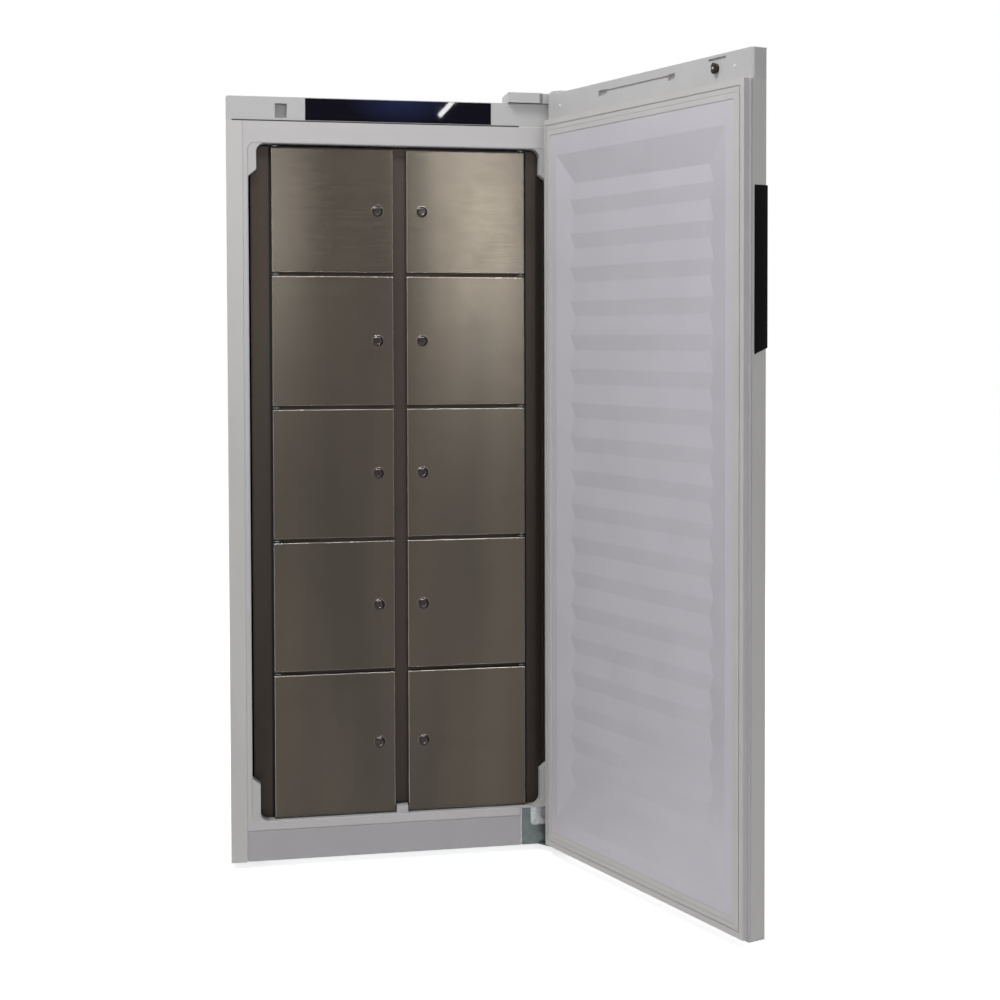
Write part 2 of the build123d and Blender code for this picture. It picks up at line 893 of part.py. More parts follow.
# Locker pivots
# A tab in each gap between doors, with a pin that the doors above and below turn on.
def make_locker_pivots():
    reach = row_gap / 2 + locker_sheet + pivot_reach
    middles = [floor + height + row_gap / 2 for floor, height in zip(row_floors[:-1], row_heights[:-1])]
    low_tab = sill_z
    high_tab = row_floors[-1] + row_heights[-1] + row_gap / 2 - tab_thickness / 2
    with BuildPart() as locker_pivots:
        for side in (-1, 1):
            tabs = [(z - tab_thickness / 2, tab_thickness, z - reach, z + reach) for z in middles]
            tabs.append((low_tab, locker_sheet, low_tab, row_floors[0] + locker_sheet + pivot_reach))
            top_pin = row_floors[-1] + row_heights[-1] - locker_sheet - pivot_reach
            tabs.append((high_tab, tab_thickness, top_pin, high_tab + tab_thickness))
            for tab_z, thickness, pin_low, pin_high in tabs:
                with BuildSketch(plan_view(tab_z)) as tab:
                    span(side * pivot_x - tab_width / 2, side * pivot_x + tab_width / 2,
                         pivot_y - tab_overhang, carcass_front - weld_gap / 2)
                    fillet(tab.vertices().group_by(Axis.Y)[0], tab_overhang - 1)
                extrude(amount=thickness)
                with BuildSketch(plan_view(pin_low)) as pin:
                    with Locations((side * pivot_x, pivot_y)):
                        Circle(pivot_radius)
                extrude(amount=pin_high - pin_low)
    locker_pivots.part.label = "locker_pivots"
    export_step(locker_pivots.part, "parts/locker_pivots.step")


# Locker doors
# Folded tray with the lock's bezel, barrel and nut in it. The corner behind the pivot is cut
# round the pin, so that it turns clear of the side strip.
def make_locker_door(side, row):
    floor = row_floors[row]
    height = row_heights[row]
    sheet = locker_sheet
    name = f"locker_door_{'left' if side < 0 else 'right'}_{row + 1}"
    lock_at = side * (door_inner + lock_inset)
    lock_height = floor + height / 2
    corner_start = sqrt(pivot_corner_radius**2 - pivot_inset**2)
    corner_middle = (acos(pivot_inset / pivot_corner_radius) + pi / 2) / 2
    bore = plug_radius + plug_clearance
    bezel_back = locker_door_face - housing_fit
    nut_y = locker_door_face + sheet + housing_fit
    barrel_end = locker_door_face + barrel_length
    with BuildPart() as locker_door:
        with BuildSketch(plan_view(floor)) as outline:
            with BuildLine() as edge:
                Polyline(
                    (side * pivot_x, locker_door_back),
                    (side * door_inner, locker_door_back),
                    (side * door_inner, locker_door_face),
                    (side * door_outer, locker_door_face),
                    (side * door_outer, pivot_y + corner_start),
                )
                ThreePointArc(
                    (side * door_outer, pivot_y + corner_start),
                    (side * (pivot_x + pivot_corner_radius * cos(corner_middle)),
                     pivot_y + pivot_corner_radius * sin(corner_middle)),
                    (side * pivot_x, locker_door_back),
                )
            make_face()
        extrude(amount=height)
        with BuildSketch(plan_view(floor + sheet)) as hollow:
            inner_edge = side * (door_inner + sheet)
            outer_edge = side * (door_outer - sheet)
            span(min(inner_edge, outer_edge), max(inner_edge, outer_edge),
                 locker_door_face + sheet, carcass_front)
        extrude(amount=height - 2 * sheet, mode=Mode.SUBTRACT)
        front = locker_door.faces().sort_by(Axis.Y)[0]
        fillet(front.edges(), sheet)
        with BuildSketch(plan_view(floor)) as pivot_hole:
            with Locations((side * pivot_x, pivot_y)):
                Circle(pivot_radius + pivot_clearance)
        extrude(amount=height, mode=Mode.SUBTRACT)
        with BuildSketch(front_view(locker_door_face)) as lock_hole:
            with Locations((lock_at, lock_height)):
                Circle(barrel_radius + housing_fit)
        extrude(amount=-sheet, mode=Mode.SUBTRACT)
        with BuildSketch(plan_view(lock_height)) as housing:
            Polygon(
                (lock_at + bore, lock_plate_y),
                (lock_at + bezel_radius - bezel_chamfer, lock_plate_y),
                (lock_at + bezel_radius, lock_plate_y + bezel_chamfer),
                (lock_at + bezel_radius, bezel_back),
                (lock_at + barrel_radius, bezel_back),
                (lock_at + barrel_radius, nut_y),
                (lock_at + lock_nut_radius, nut_y),
                (lock_at + lock_nut_radius, nut_y + lock_nut_thickness),
                (lock_at + barrel_radius, nut_y + lock_nut_thickness),
                (lock_at + barrel_radius, barrel_end),
                (lock_at + bore, barrel_end),
                align=None,
            )
        revolve(axis=Axis((lock_at, 0, lock_height), (0, 1, 0)))
    locker_door.part.label = name
    export_step(locker_door.part, f"parts/{name}.step")


# Locker locks
# Plug with its keyway, and the flat cam on its end. The cam hangs down while unlocked and
# turns sideways behind the post.
def make_locker_lock(side, row):
    name = f"locker_lock_{'left' if side < 0 else 'right'}_{row + 1}"
    lock_at = side * (door_inner + lock_inset)
    lock_height = row_floors[row] + row_heights[row] / 2
    plug_face = lock_plate_y + 0.5
    with BuildPart() as locker_lock:
        with BuildSketch(front_view(plug_face)) as plug:
            with Locations((lock_at, lock_height)):
                Circle(plug_radius)
        extrude(amount=-(cam_y - plug_face))
        with BuildSketch(front_view(plug_face)) as keyway:
            with Locations((lock_at, lock_height)):
                Rectangle(keyway_width, keyway_length)
        extrude(amount=-keyway_depth, mode=Mode.SUBTRACT)
        with BuildSketch(front_view(cam_y)) as cam:
            with Locations((lock_at, lock_height)):
                Circle(cam_width / 2 + 1)
            span(lock_at - cam_width / 2, lock_at + cam_width / 2, lock_height - cam_reach, lock_height)
        extrude(amount=-cam_thickness)
    locker_lock.part.label = name
    export_step(locker_lock.part, f"parts/{name}.step")


# Air duct cover
# Sheet behind the lockers, with slots low down for the return air and a row of slots in front
# of the fan.
def make_air_duct_cover():
    half = opening_half - duct_fit
    low = step_z + duct_fit
    high = head_z - duct_fit
    with BuildPart() as air_duct_cover:
        with BuildSketch(front_view(duct_y)) as outline:
            with Locations((0, (low + high) / 2)):
                RectangleRounded(2 * half, high - low, opening_corner - duct_fit)
            with Locations((0, fan_height)):
                Circle(fan_bore_radius, mode=Mode.SUBTRACT)
            with Locations((0, step_z + return_rise)):
                with GridLocations(return_pitch, return_step, return_columns, return_rows):
                    SlotOverall(return_length, return_width, mode=Mode.SUBTRACT)
        extrude(amount=-duct_sheet)
        for z in (low, high - duct_sheet):
            with BuildSketch(plan_view(z)) as flange:
                span(-half + opening_corner, half - opening_corner, duct_y, duct_y + duct_flange)
            extrude(amount=duct_sheet)
    air_duct_cover.part.label = "air_duct_cover"
    export_step(air_duct_cover.part, "parts/air_duct_cover.step")


# Evaporator fan
# Square moulded frame with a round bore, a motor on a four-armed spider, and a rotor on the
# motor's shaft.
def make_fan_housing():
    frame_y = duct_y + duct_sheet
    motor_y = frame_y + fan_depth - fan_motor_length
    hub_back = motor_y - fan_motor_gap
    with BuildPart() as fan_housing:
        with BuildSketch(front_view(frame_y)) as frame:
            with Locations((0, fan_height)):
                RectangleRounded(fan_frame, fan_frame, fan_corner)
                Circle(fan_bore_radius, mode=Mode.SUBTRACT)
                with GridLocations(fan_frame - 2 * fan_hole_inset, fan_frame - 2 * fan_hole_inset, 2, 2):
                    Circle(fan_hole_radius, mode=Mode.SUBTRACT)
        extrude(amount=-fan_depth)
        with BuildSketch(front_view(frame_y + fan_depth - spider_depth)) as spider:
            with Locations((0, fan_height)):
                for slope in (-45, 45):
                    Rectangle(2 * (fan_bore_radius + spider_root), spider_width, rotation=slope)
        extrude(amount=-spider_depth)
        with BuildSketch(front_view(motor_y)) as motor:
            with Locations((0, fan_height)):
                Circle(fan_motor_radius)
        extrude(amount=-fan_motor_length)
        with BuildSketch(front_view(frame_y + shaft_set_back)) as shaft:
            with Locations((0, fan_height)):
                Circle(fan_shaft_radius)
        extrude(amount=-(motor_y - frame_y - shaft_set_back))
    fan_housing.part.label = "fan_housing"
    export_step(fan_housing.part, "parts/fan_housing.step")
    return frame_y, hub_back


def make_fan_rotor(frame_y, hub_back):
    blade_front = frame_y + rotor_set_back
    blade_depth = hub_back - blade_front - hub_gap
    with BuildPart() as fan_rotor:
        with BuildSketch(front_view(blade_front)) as hub:
            with Locations((0, fan_height)):
                Circle(fan_hub_radius)
        extrude(amount=-blade_depth)
        for turn in range(fan_blades):
            angle = 360 / fan_blades * turn
            across = Vector(0, 0, 1).rotate(Axis.Y, angle)
            start = Vector(0, blade_front + blade_depth / 2, fan_height)
            sections = []
            for reach, pitch in ((fan_hub_radius - blade_root, 1.0), (fan_tip_radius, blade_tip_pitch)):
                section_plane = Plane(
                    origin=start + across * reach,
                    x_dir=Vector(0, 1, 0),
                    z_dir=across,
                )
                rise = (blade_depth - blade_sheet) / 2 * pitch
                with BuildSketch(section_plane) as blade:
                    Polygon(
                        (-rise, -blade_chord / 2),
                        (-rise + blade_sheet, -blade_chord / 2),
                        (rise, blade_chord / 2),
                        (rise - blade_sheet, blade_chord / 2),
                        align=None,
                    )
            loft()
        with BuildSketch(front_view(blade_front)) as bore:
            with Locations((0, fan_height)):
                Circle(fan_shaft_radius + fan_shaft_clearance)
        extrude(amount=-blade_depth, mode=Mode.SUBTRACT)
    fan_rotor.part.label = "fan_rotor"
    export_step(fan_rotor.part, "parts/fan_rotor.step")


# Coil of the evaporator and the condenser
# Straight tubes one over another, joined outside the end plates by half rings, so that they
# are one run from the top to the foot.
def coil(left, right, y, low, row_step, rows):
    with BuildPart() as run:
        with BuildSketch(side_view(left)) as tubes:
            for row in range(rows):
                with Locations((y, low + row_step * (row + 0.5))):
                    Circle(coil_radius)
        extrude(amount=right - left)
        for bend in range(1, rows):
            outwards = 1 if (rows - bend) % 2 else -1
            end = right if outwards > 0 else left
            with BuildSketch(side_view(end)) as tube_end:
                with Locations((y, low + row_step * (bend - 0.5))):
                    Circle(coil_radius)
            revolve(axis=Axis((end, y, low + row_step * bend), (0, -outwards, 0)), revolution_arc=180)
    return run.part


# Evaporator
# Upright fins on the coil, between two end plates that are fixed to the liner's back.
def make_evaporator():
    front = liner_back - evaporator_depth
    half = evaporator_width / 2
    pitch = evaporator_width / (evaporator_fins - 1)
    row_step = evaporator_height / coil_rows
    with BuildPart() as evaporator:
        add(coil(-half, half, front + evaporator_depth / 2, evaporator_foot, row_step, coil_rows))
        for fin in range(evaporator_fins):
            x = -half + fin * pitch
            thickness = end_plate if fin in (0, evaporator_fins - 1) else fin_sheet
            depth = evaporator_depth if fin in (0, evaporator_fins - 1) else evaporator_depth - fin_set_back
            with BuildSketch(side_view(x - thickness / 2)) as fin_outline:
                span(front, front + depth, evaporator_foot, evaporator_foot + evaporator_height)
            extrude(amount=thickness)
    evaporator.part.label = "evaporator"
    export_step(evaporator.part, "parts/evaporator.step")


# Compressor
# Drawn pot in two halves, welded at a proud seam, with a dished head. It stands on a flat foot
# plate over four rubber mounts.
def make_compressor():
    centre_y = (room_y + back_y) / 2
    foot_z = deck_z + mount_height
    wall_top = compressor_height - crown_rise
    side = compressor_radius - pot_knuckle
    dish = (side**2 + crown_rise**2 - pot_knuckle**2) / (2 * (crown_rise - pot_knuckle))
    knuckle_turn = degrees(acos(side / (dish - pot_knuckle)))
    with BuildPart() as compressor:
        with BuildSketch(Plane(origin=(compressor_x, centre_y, foot_z), x_dir=(1, 0, 0),
                               z_dir=(0, -1, 0))) as pot:
            with BuildLine() as outline:
                Polyline((0, compressor_height), (0, pot_clearance),
                         (compressor_radius - pot_foot_radius, pot_clearance))
                CenterArc((compressor_radius - pot_foot_radius, pot_clearance + pot_foot_radius),
                          pot_foot_radius, -90, 90)
                Polyline((compressor_radius, pot_clearance + pot_foot_radius),
                         (compressor_radius, seam_height),
                         (compressor_radius + seam_proud, seam_height),
                         (compressor_radius + seam_proud, seam_height + seam_width),
                         (compressor_radius, seam_height + seam_width),
                         (compressor_radius, wall_top))
                CenterArc((side, wall_top), pot_knuckle, 0, knuckle_turn)
                CenterArc((0, compressor_height - dish), dish, knuckle_turn, 90 - knuckle_turn)
            make_face()
        revolve(axis=Axis((compressor_x, centre_y, 0), (0, 0, 1)))
        with BuildSketch(plan_view(foot_z)) as foot_plate:
            with Locations((compressor_x, centre_y)):
                RectangleRounded(mount_across + 2 * foot_plate_edge, mount_deep + 2 * foot_plate_edge,
                                 foot_plate_corner)
                with GridLocations(mount_across, mount_deep, 2, 2):
                    Circle(mount_hole_radius, mode=Mode.SUBTRACT)
        extrude(amount=foot_plate_sheet)
    compressor.part.label = "compressor"
    export_step(compressor.part, "parts/compressor.step")
    with BuildPart() as compressor_mounts:
        with BuildSketch(plan_view(deck_z)) as pads:
            with Locations((compressor_x, centre_y)):
                with GridLocations(mount_across, mount_deep, 2, 2):
                    Circle(mount_radius)
        extrude(amount=mount_height)
        with BuildSketch(plan_view(deck_z + mount_height)) as necks:
            with Locations((compressor_x, centre_y)):
                with GridLocations(mount_across, mount_deep, 2, 2):
                    Circle(mount_hole_radius - mount_fit)
        extrude(amount=mount_neck)
    compressor_mounts.part.label = "compressor_mounts"
    export_step(compressor_mounts.part, "parts/compressor_mounts.step")


# Condenser
# Finned coil that stands on the machine room's floor.
def make_condenser():
    front = room_y + condenser_set_back
    left = condenser_x - condenser_width / 2
    right = condenser_x + condenser_width / 2
    pitch = condenser_width / (condenser_fins - 1)
    row_step = condenser_height / condenser_rows
    with BuildPart() as condenser:
        add(coil(left, right, front + condenser_depth / 2, deck_z, row_step, condenser_rows))
        for fin in range(condenser_fins):
            x = left + fin * pitch
            end = fin in (0, condenser_fins - 1)
            thickness = end_plate if end else fin_sheet
            low = deck_z if end else deck_z + condenser_fin_foot
            with BuildSketch(side_view(x - thickness / 2)) as fin_outline:
                span(front, front + condenser_depth, low, deck_z + condenser_height)
            extrude(amount=thickness)
    condenser.part.label = "condenser"
    export_step(condenser.part, "parts/condenser.step")


# Evaporation tray
# Moulded tray on the compressor's warm crown.
def make_evaporation_tray():
    tray_z = deck_z + mount_height + compressor_height
    centre_y = (room_y + back_y) / 2
    with BuildPart() as evaporation_tray:
        with BuildSketch(plan_view(tray_z)) as outline:
            with Locations((compressor_x, centre_y)):
                RectangleRounded(tray_width, tray_depth, tray_corner)
        extrude(amount=tray_height, taper=-tray_slope)
        with BuildSketch(plan_view(tray_z + tray_wall)) as inside:
            with Locations((compressor_x, centre_y)):
                RectangleRounded(tray_width - 2 * tray_wall, tray_depth - 2 * tray_wall,
                                 tray_corner - tray_wall)
        extrude(amount=tray_height - tray_wall, taper=-tray_slope, mode=Mode.SUBTRACT)
    evaporation_tray.part.label = "evaporation_tray"
    export_step(evaporation_tray.part, "parts/evaporation_tray.step")


# Terminal box
# Box beside the machine room's rear edge with the recessed mains inlet.
def make_terminal_box():
    left = condenser_x - terminal_width / 2
    front = back_y - terminal_depth
    with BuildPart() as terminal_box:
        with BuildSketch(front_view(front)) as outline:
            span(left, left + terminal_width, deck_z, deck_z + terminal_height)
            fillet(outline.vertices().group_by(Axis.Y)[-1], terminal_corner)
        extrude(amount=-terminal_depth)
        with BuildSketch(front_view(back_y - inlet_depth)) as inlet:
            with Locations((condenser_x, deck_z + terminal_height / 2)):
                RectangleRounded(inlet_width, inlet_height, inlet_corner)
        extrude(amount=-inlet_depth, mode=Mode.SUBTRACT)
        with BuildSketch(front_view(back_y - inlet_depth)) as blades:
            with Locations((condenser_x, deck_z + terminal_height / 2)):
                with Locations((-blade_side, -blade_drop), (0, blade_rise), (blade_side, -blade_drop)):
                    Rectangle(blade_width, blade_height)
        extrude(amount=-(inlet_depth - blade_set_back))
    terminal_box.part.label = "terminal_box"
    export_step(terminal_box.part, "parts/terminal_box.step")


# Refrigerant pipes
# Copper pipes from the compressor to the condenser, and from the insulation to the compressor.
def make_refrigerant_pipes():
    centre_y = (room_y + back_y) / 2
    outlet_z = deck_z + mount_height + seam_height + seam_width + outlet_rise
    coil_y = room_y + condenser_set_back + condenser_depth / 2
    coil_z = deck_z + condenser_height * (condenser_rows - 0.5) / condenser_rows
    start_x = compressor_x + compressor_radius
    end_x = condenser_x - condenser_width / 2 - end_plate / 2
    suction_x = compressor_x - compressor_radius - pipe_side
    with BuildPart() as refrigerant_pipes:
        with BuildLine() as discharge:
            FilletPolyline(
                (start_x, centre_y, outlet_z),
                (start_x + pipe_side, centre_y, outlet_z),
                (start_x + pipe_side, coil_y, outlet_z + discharge_rise),
                (start_x + pipe_side, coil_y, coil_z),
                (end_x, coil_y, coil_z),
                radius=pipe_bend,
            )
        with BuildSketch(Plane(origin=discharge.line @ 0, z_dir=discharge.line % 0)) as discharge_bore:
            Circle(pipe_radius)
        sweep()
        with BuildLine() as suction:
            FilletPolyline(
                (suction_x + pipe_side, centre_y, outlet_z),
                (suction_x, centre_y, outlet_z),
                (suction_x, centre_y - suction_step, outlet_z + suction_rise),
                (suction_x, room_y, outlet_z + suction_rise),
                radius=pipe_bend,
            )
        with BuildSketch(Plane(origin=suction.line @ 0, z_dir=suction.line % 0)) as suction_bore:
            Circle(pipe_radius)
        sweep()
    refrigerant_pipes.part.label = "refrigerant_pipes"
    export_step(refrigerant_pipes.part, "parts/refrigerant_pipes.step")


# Top hinge
# Plate on the cabinet's top, stepped up to an arm over the door, with the pin that hangs down
# into the door's upper bush.
def make_top_hinge():
    plate_right = shell_half - plate_inset
    riser = plate_set_back - hinge_plate
    with BuildPart() as top_hinge:
        with BuildSketch(plan_view(top_z)) as plate:
            span(plate_right - plate_width, plate_right, plate_set_back, plate_set_back + plate_length)
            fillet(plate.vertices().group_by(Axis.Y)[-1], plate_corner)
        extrude(amount=hinge_plate)
        with BuildSketch(side_view(hinge_x - arm_width / 2)) as step:
            span(riser, plate_set_back, top_z, arm_z + hinge_plate)
        extrude(amount=arm_width)
        with BuildSketch(plan_view(arm_z)) as arm:
            span(hinge_x - arm_width / 2, hinge_x + arm_width / 2, hinge_y, plate_set_back)
            with Locations((hinge_x, hinge_y)):
                Circle(arm_width / 2)
        extrude(amount=hinge_plate)
        with BuildSketch(plan_view(door_top - bush_length + pin_stop)) as pin:
            with Locations((hinge_x, hinge_y)):
                Circle(pin_radius)
        extrude(amount=arm_z - door_top + bush_length - pin_stop)
    top_hinge.part.label = "top_hinge"
    export_step(top_hinge.part, "parts/top_hinge.step")


# Top hinge cover
# Moulded cap over the hinge plate, with a low nose that follows the arm out over the door.
def make_top_hinge_cover():
    right = hinge_x + arm_width / 2 + cover_nose_gap + cover_wall
    nose_left = hinge_x - arm_width / 2 - cover_nose_gap - cover_wall
    nose_z = arm_z - cover_nose_gap
    neck = cover_left + cover_neck - cover_wall / 2
    with BuildPart() as top_hinge_cover:
        with BuildSketch(plan_view(top_z)) as body:
            Polygon(
                (cover_left, -cover_front),
                (cover_left + cover_neck, -cover_front),
                (cover_left + cover_neck + cover_front - cover_step, -cover_step),
                (right, -cover_step),
                (right, cover_back),
                (cover_left, cover_back),
                align=None,
            )
            fillet(body.vertices().group_by(Axis.Y)[-1], cover_corner)
        extrude(amount=cover_height)
        with BuildSketch(plan_view(nose_z)) as nose:
            span(nose_left, right, hinge_y, -cover_step)
            with Locations((hinge_x, hinge_y)):
                Circle((right - nose_left) / 2)
        extrude(amount=top_z + cover_height - nose_z)
        top_face = top_hinge_cover.faces().sort_by(Axis.Z)[-1]
        fillet(top_face.edges(), cover_edge)
        with BuildSketch(plan_view(top_z)) as room:
            Polygon(
                (cover_left + cover_wall, -cover_front + cover_wall),
                (neck, -cover_front + cover_wall),
                (neck + cover_front - cover_step, -cover_step + cover_wall),
                (right - cover_wall, -cover_step + cover_wall),
                (right - cover_wall, cover_back - cover_wall),
                (cover_left + cover_wall, cover_back - cover_wall),
                align=None,
            )
        extrude(amount=cover_height - cover_wall, mode=Mode.SUBTRACT)
        with BuildSketch(plan_view(nose_z)) as arm_room:
            span(nose_left + cover_wall, right - cover_wall, hinge_y, cover_wall)
            with Locations((hinge_x, hinge_y)):
                Circle((right - nose_left) / 2 - cover_wall)
        extrude(amount=top_z + cover_height - cover_wall - nose_z, mode=Mode.SUBTRACT)
    top_hinge_cover.part.label = "top_hinge_cover"
    export_step(top_hinge_cover.part, "parts/top_hinge_cover.step")


# Bottom hinge
# Zinc-plated bracket: a stepped plate against the apron, and a tongue that carries the door's
# lower pin.
def make_bottom_hinge():
    left = bracket_left
    with BuildPart() as bottom_hinge:
        with BuildSketch(front_view(bracket_face)) as plate:
            Polygon(
                (left, tongue_z),
                (left + bracket_lower_width, tongue_z),
                (left + bracket_lower_width, base_z + bracket_lower_top),
                (left + bracket_upper_width + bracket_bevel, base_z + bracket_lower_top),
                (left + bracket_upper_width, base_z + bracket_lower_top + bracket_bevel),
                (left + bracket_upper_width, base_z + bracket_upper_top),
                (left, base_z + bracket_upper_top),
                align=None,
            )
            with Locations(bracket_screws):
                Circle(screw_radius, mode=Mode.SUBTRACT)
        extrude(amount=-hinge_plate)
        with BuildSketch(plan_view(tongue_z)) as tongue:
            Polygon(
                (hinge_x - tongue_root, bracket_face),
                (hinge_x - tongue_radius, hinge_y),
                (hinge_x + tongue_radius, hinge_y),
                (hinge_x + tongue_radius, bracket_face),
                align=None,
            )
            with Locations((hinge_x, hinge_y)):
                Circle(tongue_radius)
        extrude(amount=hinge_plate)
        with BuildSketch(plan_view(tongue_z)) as pin:
            with Locations((hinge_x, hinge_y)):
                Circle(pin_radius)
        extrude(amount=door_foot + bush_length - pin_tip_gap - tongue_z)
    bottom_hinge.part.label = "bottom_hinge"
    export_step(bottom_hinge.part, "parts/bottom_hinge.step")


# Screws
# Pan-head screws of the bottom hinge and the back panel.
def make_screws():
    with BuildPart() as screws:
        with BuildSketch(front_view(bracket_face)) as hinge_heads:
            with Locations(bracket_screws):
                Circle(screw_head_radius)
        extrude(amount=screw_head_height, taper=screw_head_slope)
        with BuildSketch(front_view(bracket_face)) as hinge_shanks:
            with Locations(bracket_screws):
                Circle(screw_radius)
        extrude(amount=-hinge_plate)
        with BuildSketch(front_view(cabinet_depth)) as panel_heads:
            with Locations(panel_screws):
                Circle(screw_head_radius)
        extrude(amount=-screw_head_height, taper=screw_head_slope)
        with BuildSketch(front_view(cabinet_depth)) as panel_shanks:
            with Locations(panel_screws):
                Circle(screw_radius)
        extrude(amount=shell_sheet)
    screws.part.label = "screws"
    export_step(screws.part, "parts/screws.step")


# Forming shape of the door's liner
# The cross ribs: a long field of shallow slopes, each crest followed by a valley, with slanted
# ends all round. It is made at the liner's inner face and again behind the sheet.
def rib_field(shift):
    top = plateau_depth - rib_overshoot + shift
    face = plateau_depth + shift
    valley = valley_depth + shift
    first_crest = field_high - top_facet - first_rise
    last_crest = field_low + foot_facet + crest_fall
    pitch = (first_crest - last_crest) / (crest_count - 1)
    profile_points = [(top, field_high), (face, field_high), (valley, field_high - top_facet)]
    for crest in range(crest_count):
        crest_z = first_crest - crest * pitch
        profile_points.append((crest_depth + shift, crest_z))
        profile_points.append((valley, crest_z - crest_fall))
    profile_points += [(face, field_low), (top, field_low)]
    steepness = rib_overshoot * field_slope / (valley_depth - plateau_depth)
    with BuildPart() as field:
        with BuildSketch(door_section(field_half + rib_overshoot)) as slopes:
            Polygon(*profile_points, align=None)
        extrude(amount=2 * (field_half + rib_overshoot))
        with BuildSketch(door_level(field_low - rib_overshoot)) as ends:
            Polygon(
                (-field_half, door_y(top)),
                (-field_half, door_y(face)),
                (-field_half + field_slope + steepness, door_y(valley + rib_overshoot)),
                (field_half - field_slope - steepness, door_y(valley + rib_overshoot)),
                (field_half, door_y(face)),
                (field_half, door_y(top)),
                align=None,
            )
        extrude(amount=field_high - field_low + 2 * rib_overshoot, mode=Mode.INTERSECT)
    return field.part


rib_face = rib_field(0)
rib_back = rib_field(liner_sheet)


def door_outline(inset, low, high):
    """Rectangle over the door's width, in a sketch on one of its face planes."""
    span(-door_half + inset, door_half - inset, low, high)


def plateau_outline(inset, mode=Mode.ADD):
    """Rounded rectangle of the liner's raised middle, in a sketch on a face plane."""
    with Locations((0, (plateau_low + plateau_high) / 2)):
        RectangleRounded(2 * (plateau_half - inset), plateau_high - plateau_low - 2 * inset,
                         plateau_corner - inset / 2, mode=mode)


# Door liner
# Formed sheet: flat rim under the gasket, raised plateau, and the field of cross ribs.
def make_door_liner():
    back = door_flange_depth + liner_sheet
    with BuildPart() as door_liner:
        with BuildSketch(door_face(plateau_depth)) as plateau:
            plateau_outline(0)
        extrude(amount=liner_sheet)
        add(rib_back)
        add(rib_face, mode=Mode.SUBTRACT)
        with BuildSketch(door_face(plateau_depth)) as wall:
            plateau_outline(0)
            plateau_outline(liner_sheet, mode=Mode.SUBTRACT)
        extrude(amount=back - plateau_depth)
        with BuildSketch(door_face(door_flange_depth)) as flange:
            door_outline(0, skin_foot, cap_z)
            plateau_outline(liner_sheet, mode=Mode.SUBTRACT)
        extrude(amount=liner_sheet)
        with BuildSketch(door_face(back)) as rim:
            door_outline(0, skin_foot, cap_z)
            span(-door_half + liner_sheet, door_half - liner_sheet,
                 skin_foot + liner_sheet, cap_z - liner_sheet, mode=Mode.SUBTRACT)
        extrude(amount=door_rim_depth - liner_sheet)
    door_liner.part.label = "door_liner"
    export_step(door_liner.part, "parts/door_liner.step")


# Door insulation
# Foam between the door's liner and its skin, with a bore for the lower bush.
def make_door_foam():
    back = door_flange_depth + liner_sheet
    rim_end = door_flange_depth + door_rim_depth
    with BuildPart() as door_foam:
        with BuildSketch(door_face(back)) as behind_rim:
            span(-door_half + liner_sheet, door_half - liner_sheet,
                 skin_foot + liner_sheet, cap_z - liner_sheet)
        extrude(amount=rim_end - back)
        with BuildSketch(door_face(rim_end)) as body:
            door_outline(door_sheet, skin_foot, cap_z)
        extrude(amount=door_thickness - door_sheet - rim_end)
        with BuildSketch(door_face(plateau_depth + liner_sheet)) as behind_plateau:
            plateau_outline(liner_sheet)
        extrude(amount=back - plateau_depth - liner_sheet)
        add(rib_back, mode=Mode.SUBTRACT)
        with BuildSketch(plan_view(skin_foot)) as bush_bore:
            with Locations((hinge_x, hinge_y)):
                Circle(bush_radius)
        extrude(amount=door_foot + bush_length - skin_foot, mode=Mode.SUBTRACT)
    door_foam.part.label = "door_foam"
    export_step(door_foam.part, "parts/door_foam.step")


# Door skin
# Folded steel tray: the outer face and the two sides.
def make_door_skin():
    bend = shell_bend
    rim_end = door_flange_depth + door_rim_depth
    outer_y = door_y(door_thickness)
    with BuildPart() as door_skin:
        with BuildSketch(door_level(skin_foot)) as tray:
            span(-door_half, door_half, outer_y, door_y(rim_end))
            fillet(tray.vertices().group_by(Axis.Y)[0], bend)
        extrude(amount=cap_z - skin_foot)
        with BuildSketch(door_level(skin_foot)) as room:
            span(-door_half + door_sheet, door_half - door_sheet, outer_y + door_sheet, door_y(rim_end))
        extrude(amount=cap_z - skin_foot, mode=Mode.SUBTRACT)
        with BuildSketch(door_level(cap_z)) as face:
            span(-door_half + bend, door_half - bend, outer_y, outer_y + door_sheet)
        extrude(amount=skin_top - cap_z)
    door_skin.part.label = "door_skin"
    export_step(door_skin.part, "parts/door_skin.step")


# Door gasket
# Magnetic seal all round, with a shallow groove between its lip and its magnet. Beside the
# hinge its outer edge is slanted, so that it swings clear of the cabinet's flange.
def make_door_gasket():
    left = -door_half + gasket_edge
    right = door_half - gasket_hinge_edge
    inner = door_half - gasket_edge - gasket_width
    low = gasket_low
    high = cap_z
    middle = gasket_width / 2
    with BuildPart() as door_gasket:
        with BuildSketch(door_face(0)) as ring:
            span(left, right, low, high)
            span(-inner, inner, low + gasket_width, high - gasket_width, mode=Mode.SUBTRACT)
        extrude(amount=door_flange_depth)
        with BuildSketch(door_face(0)) as groove:
            span(-inner - middle, inner + middle / 2, low + middle, high - middle)
            span(-inner - middle + gasket_groove, inner + middle / 2 - gasket_groove,
                 low + middle + gasket_groove, high - middle - gasket_groove, mode=Mode.SUBTRACT)
        extrude(amount=gasket_bevel, mode=Mode.SUBTRACT)
        with BuildSketch(door_level(low)) as bevel:
            Polygon(
                (right - gasket_bevel_width, door_y(0)),
                (right, door_y(0)),
                (right, door_y(gasket_bevel)),
                align=None,
            )
        extrude(amount=high - low, mode=Mode.SUBTRACT)
    door_gasket.part.label = "door_gasket"
    export_step(door_gasket.part, "parts/door_gasket.step")


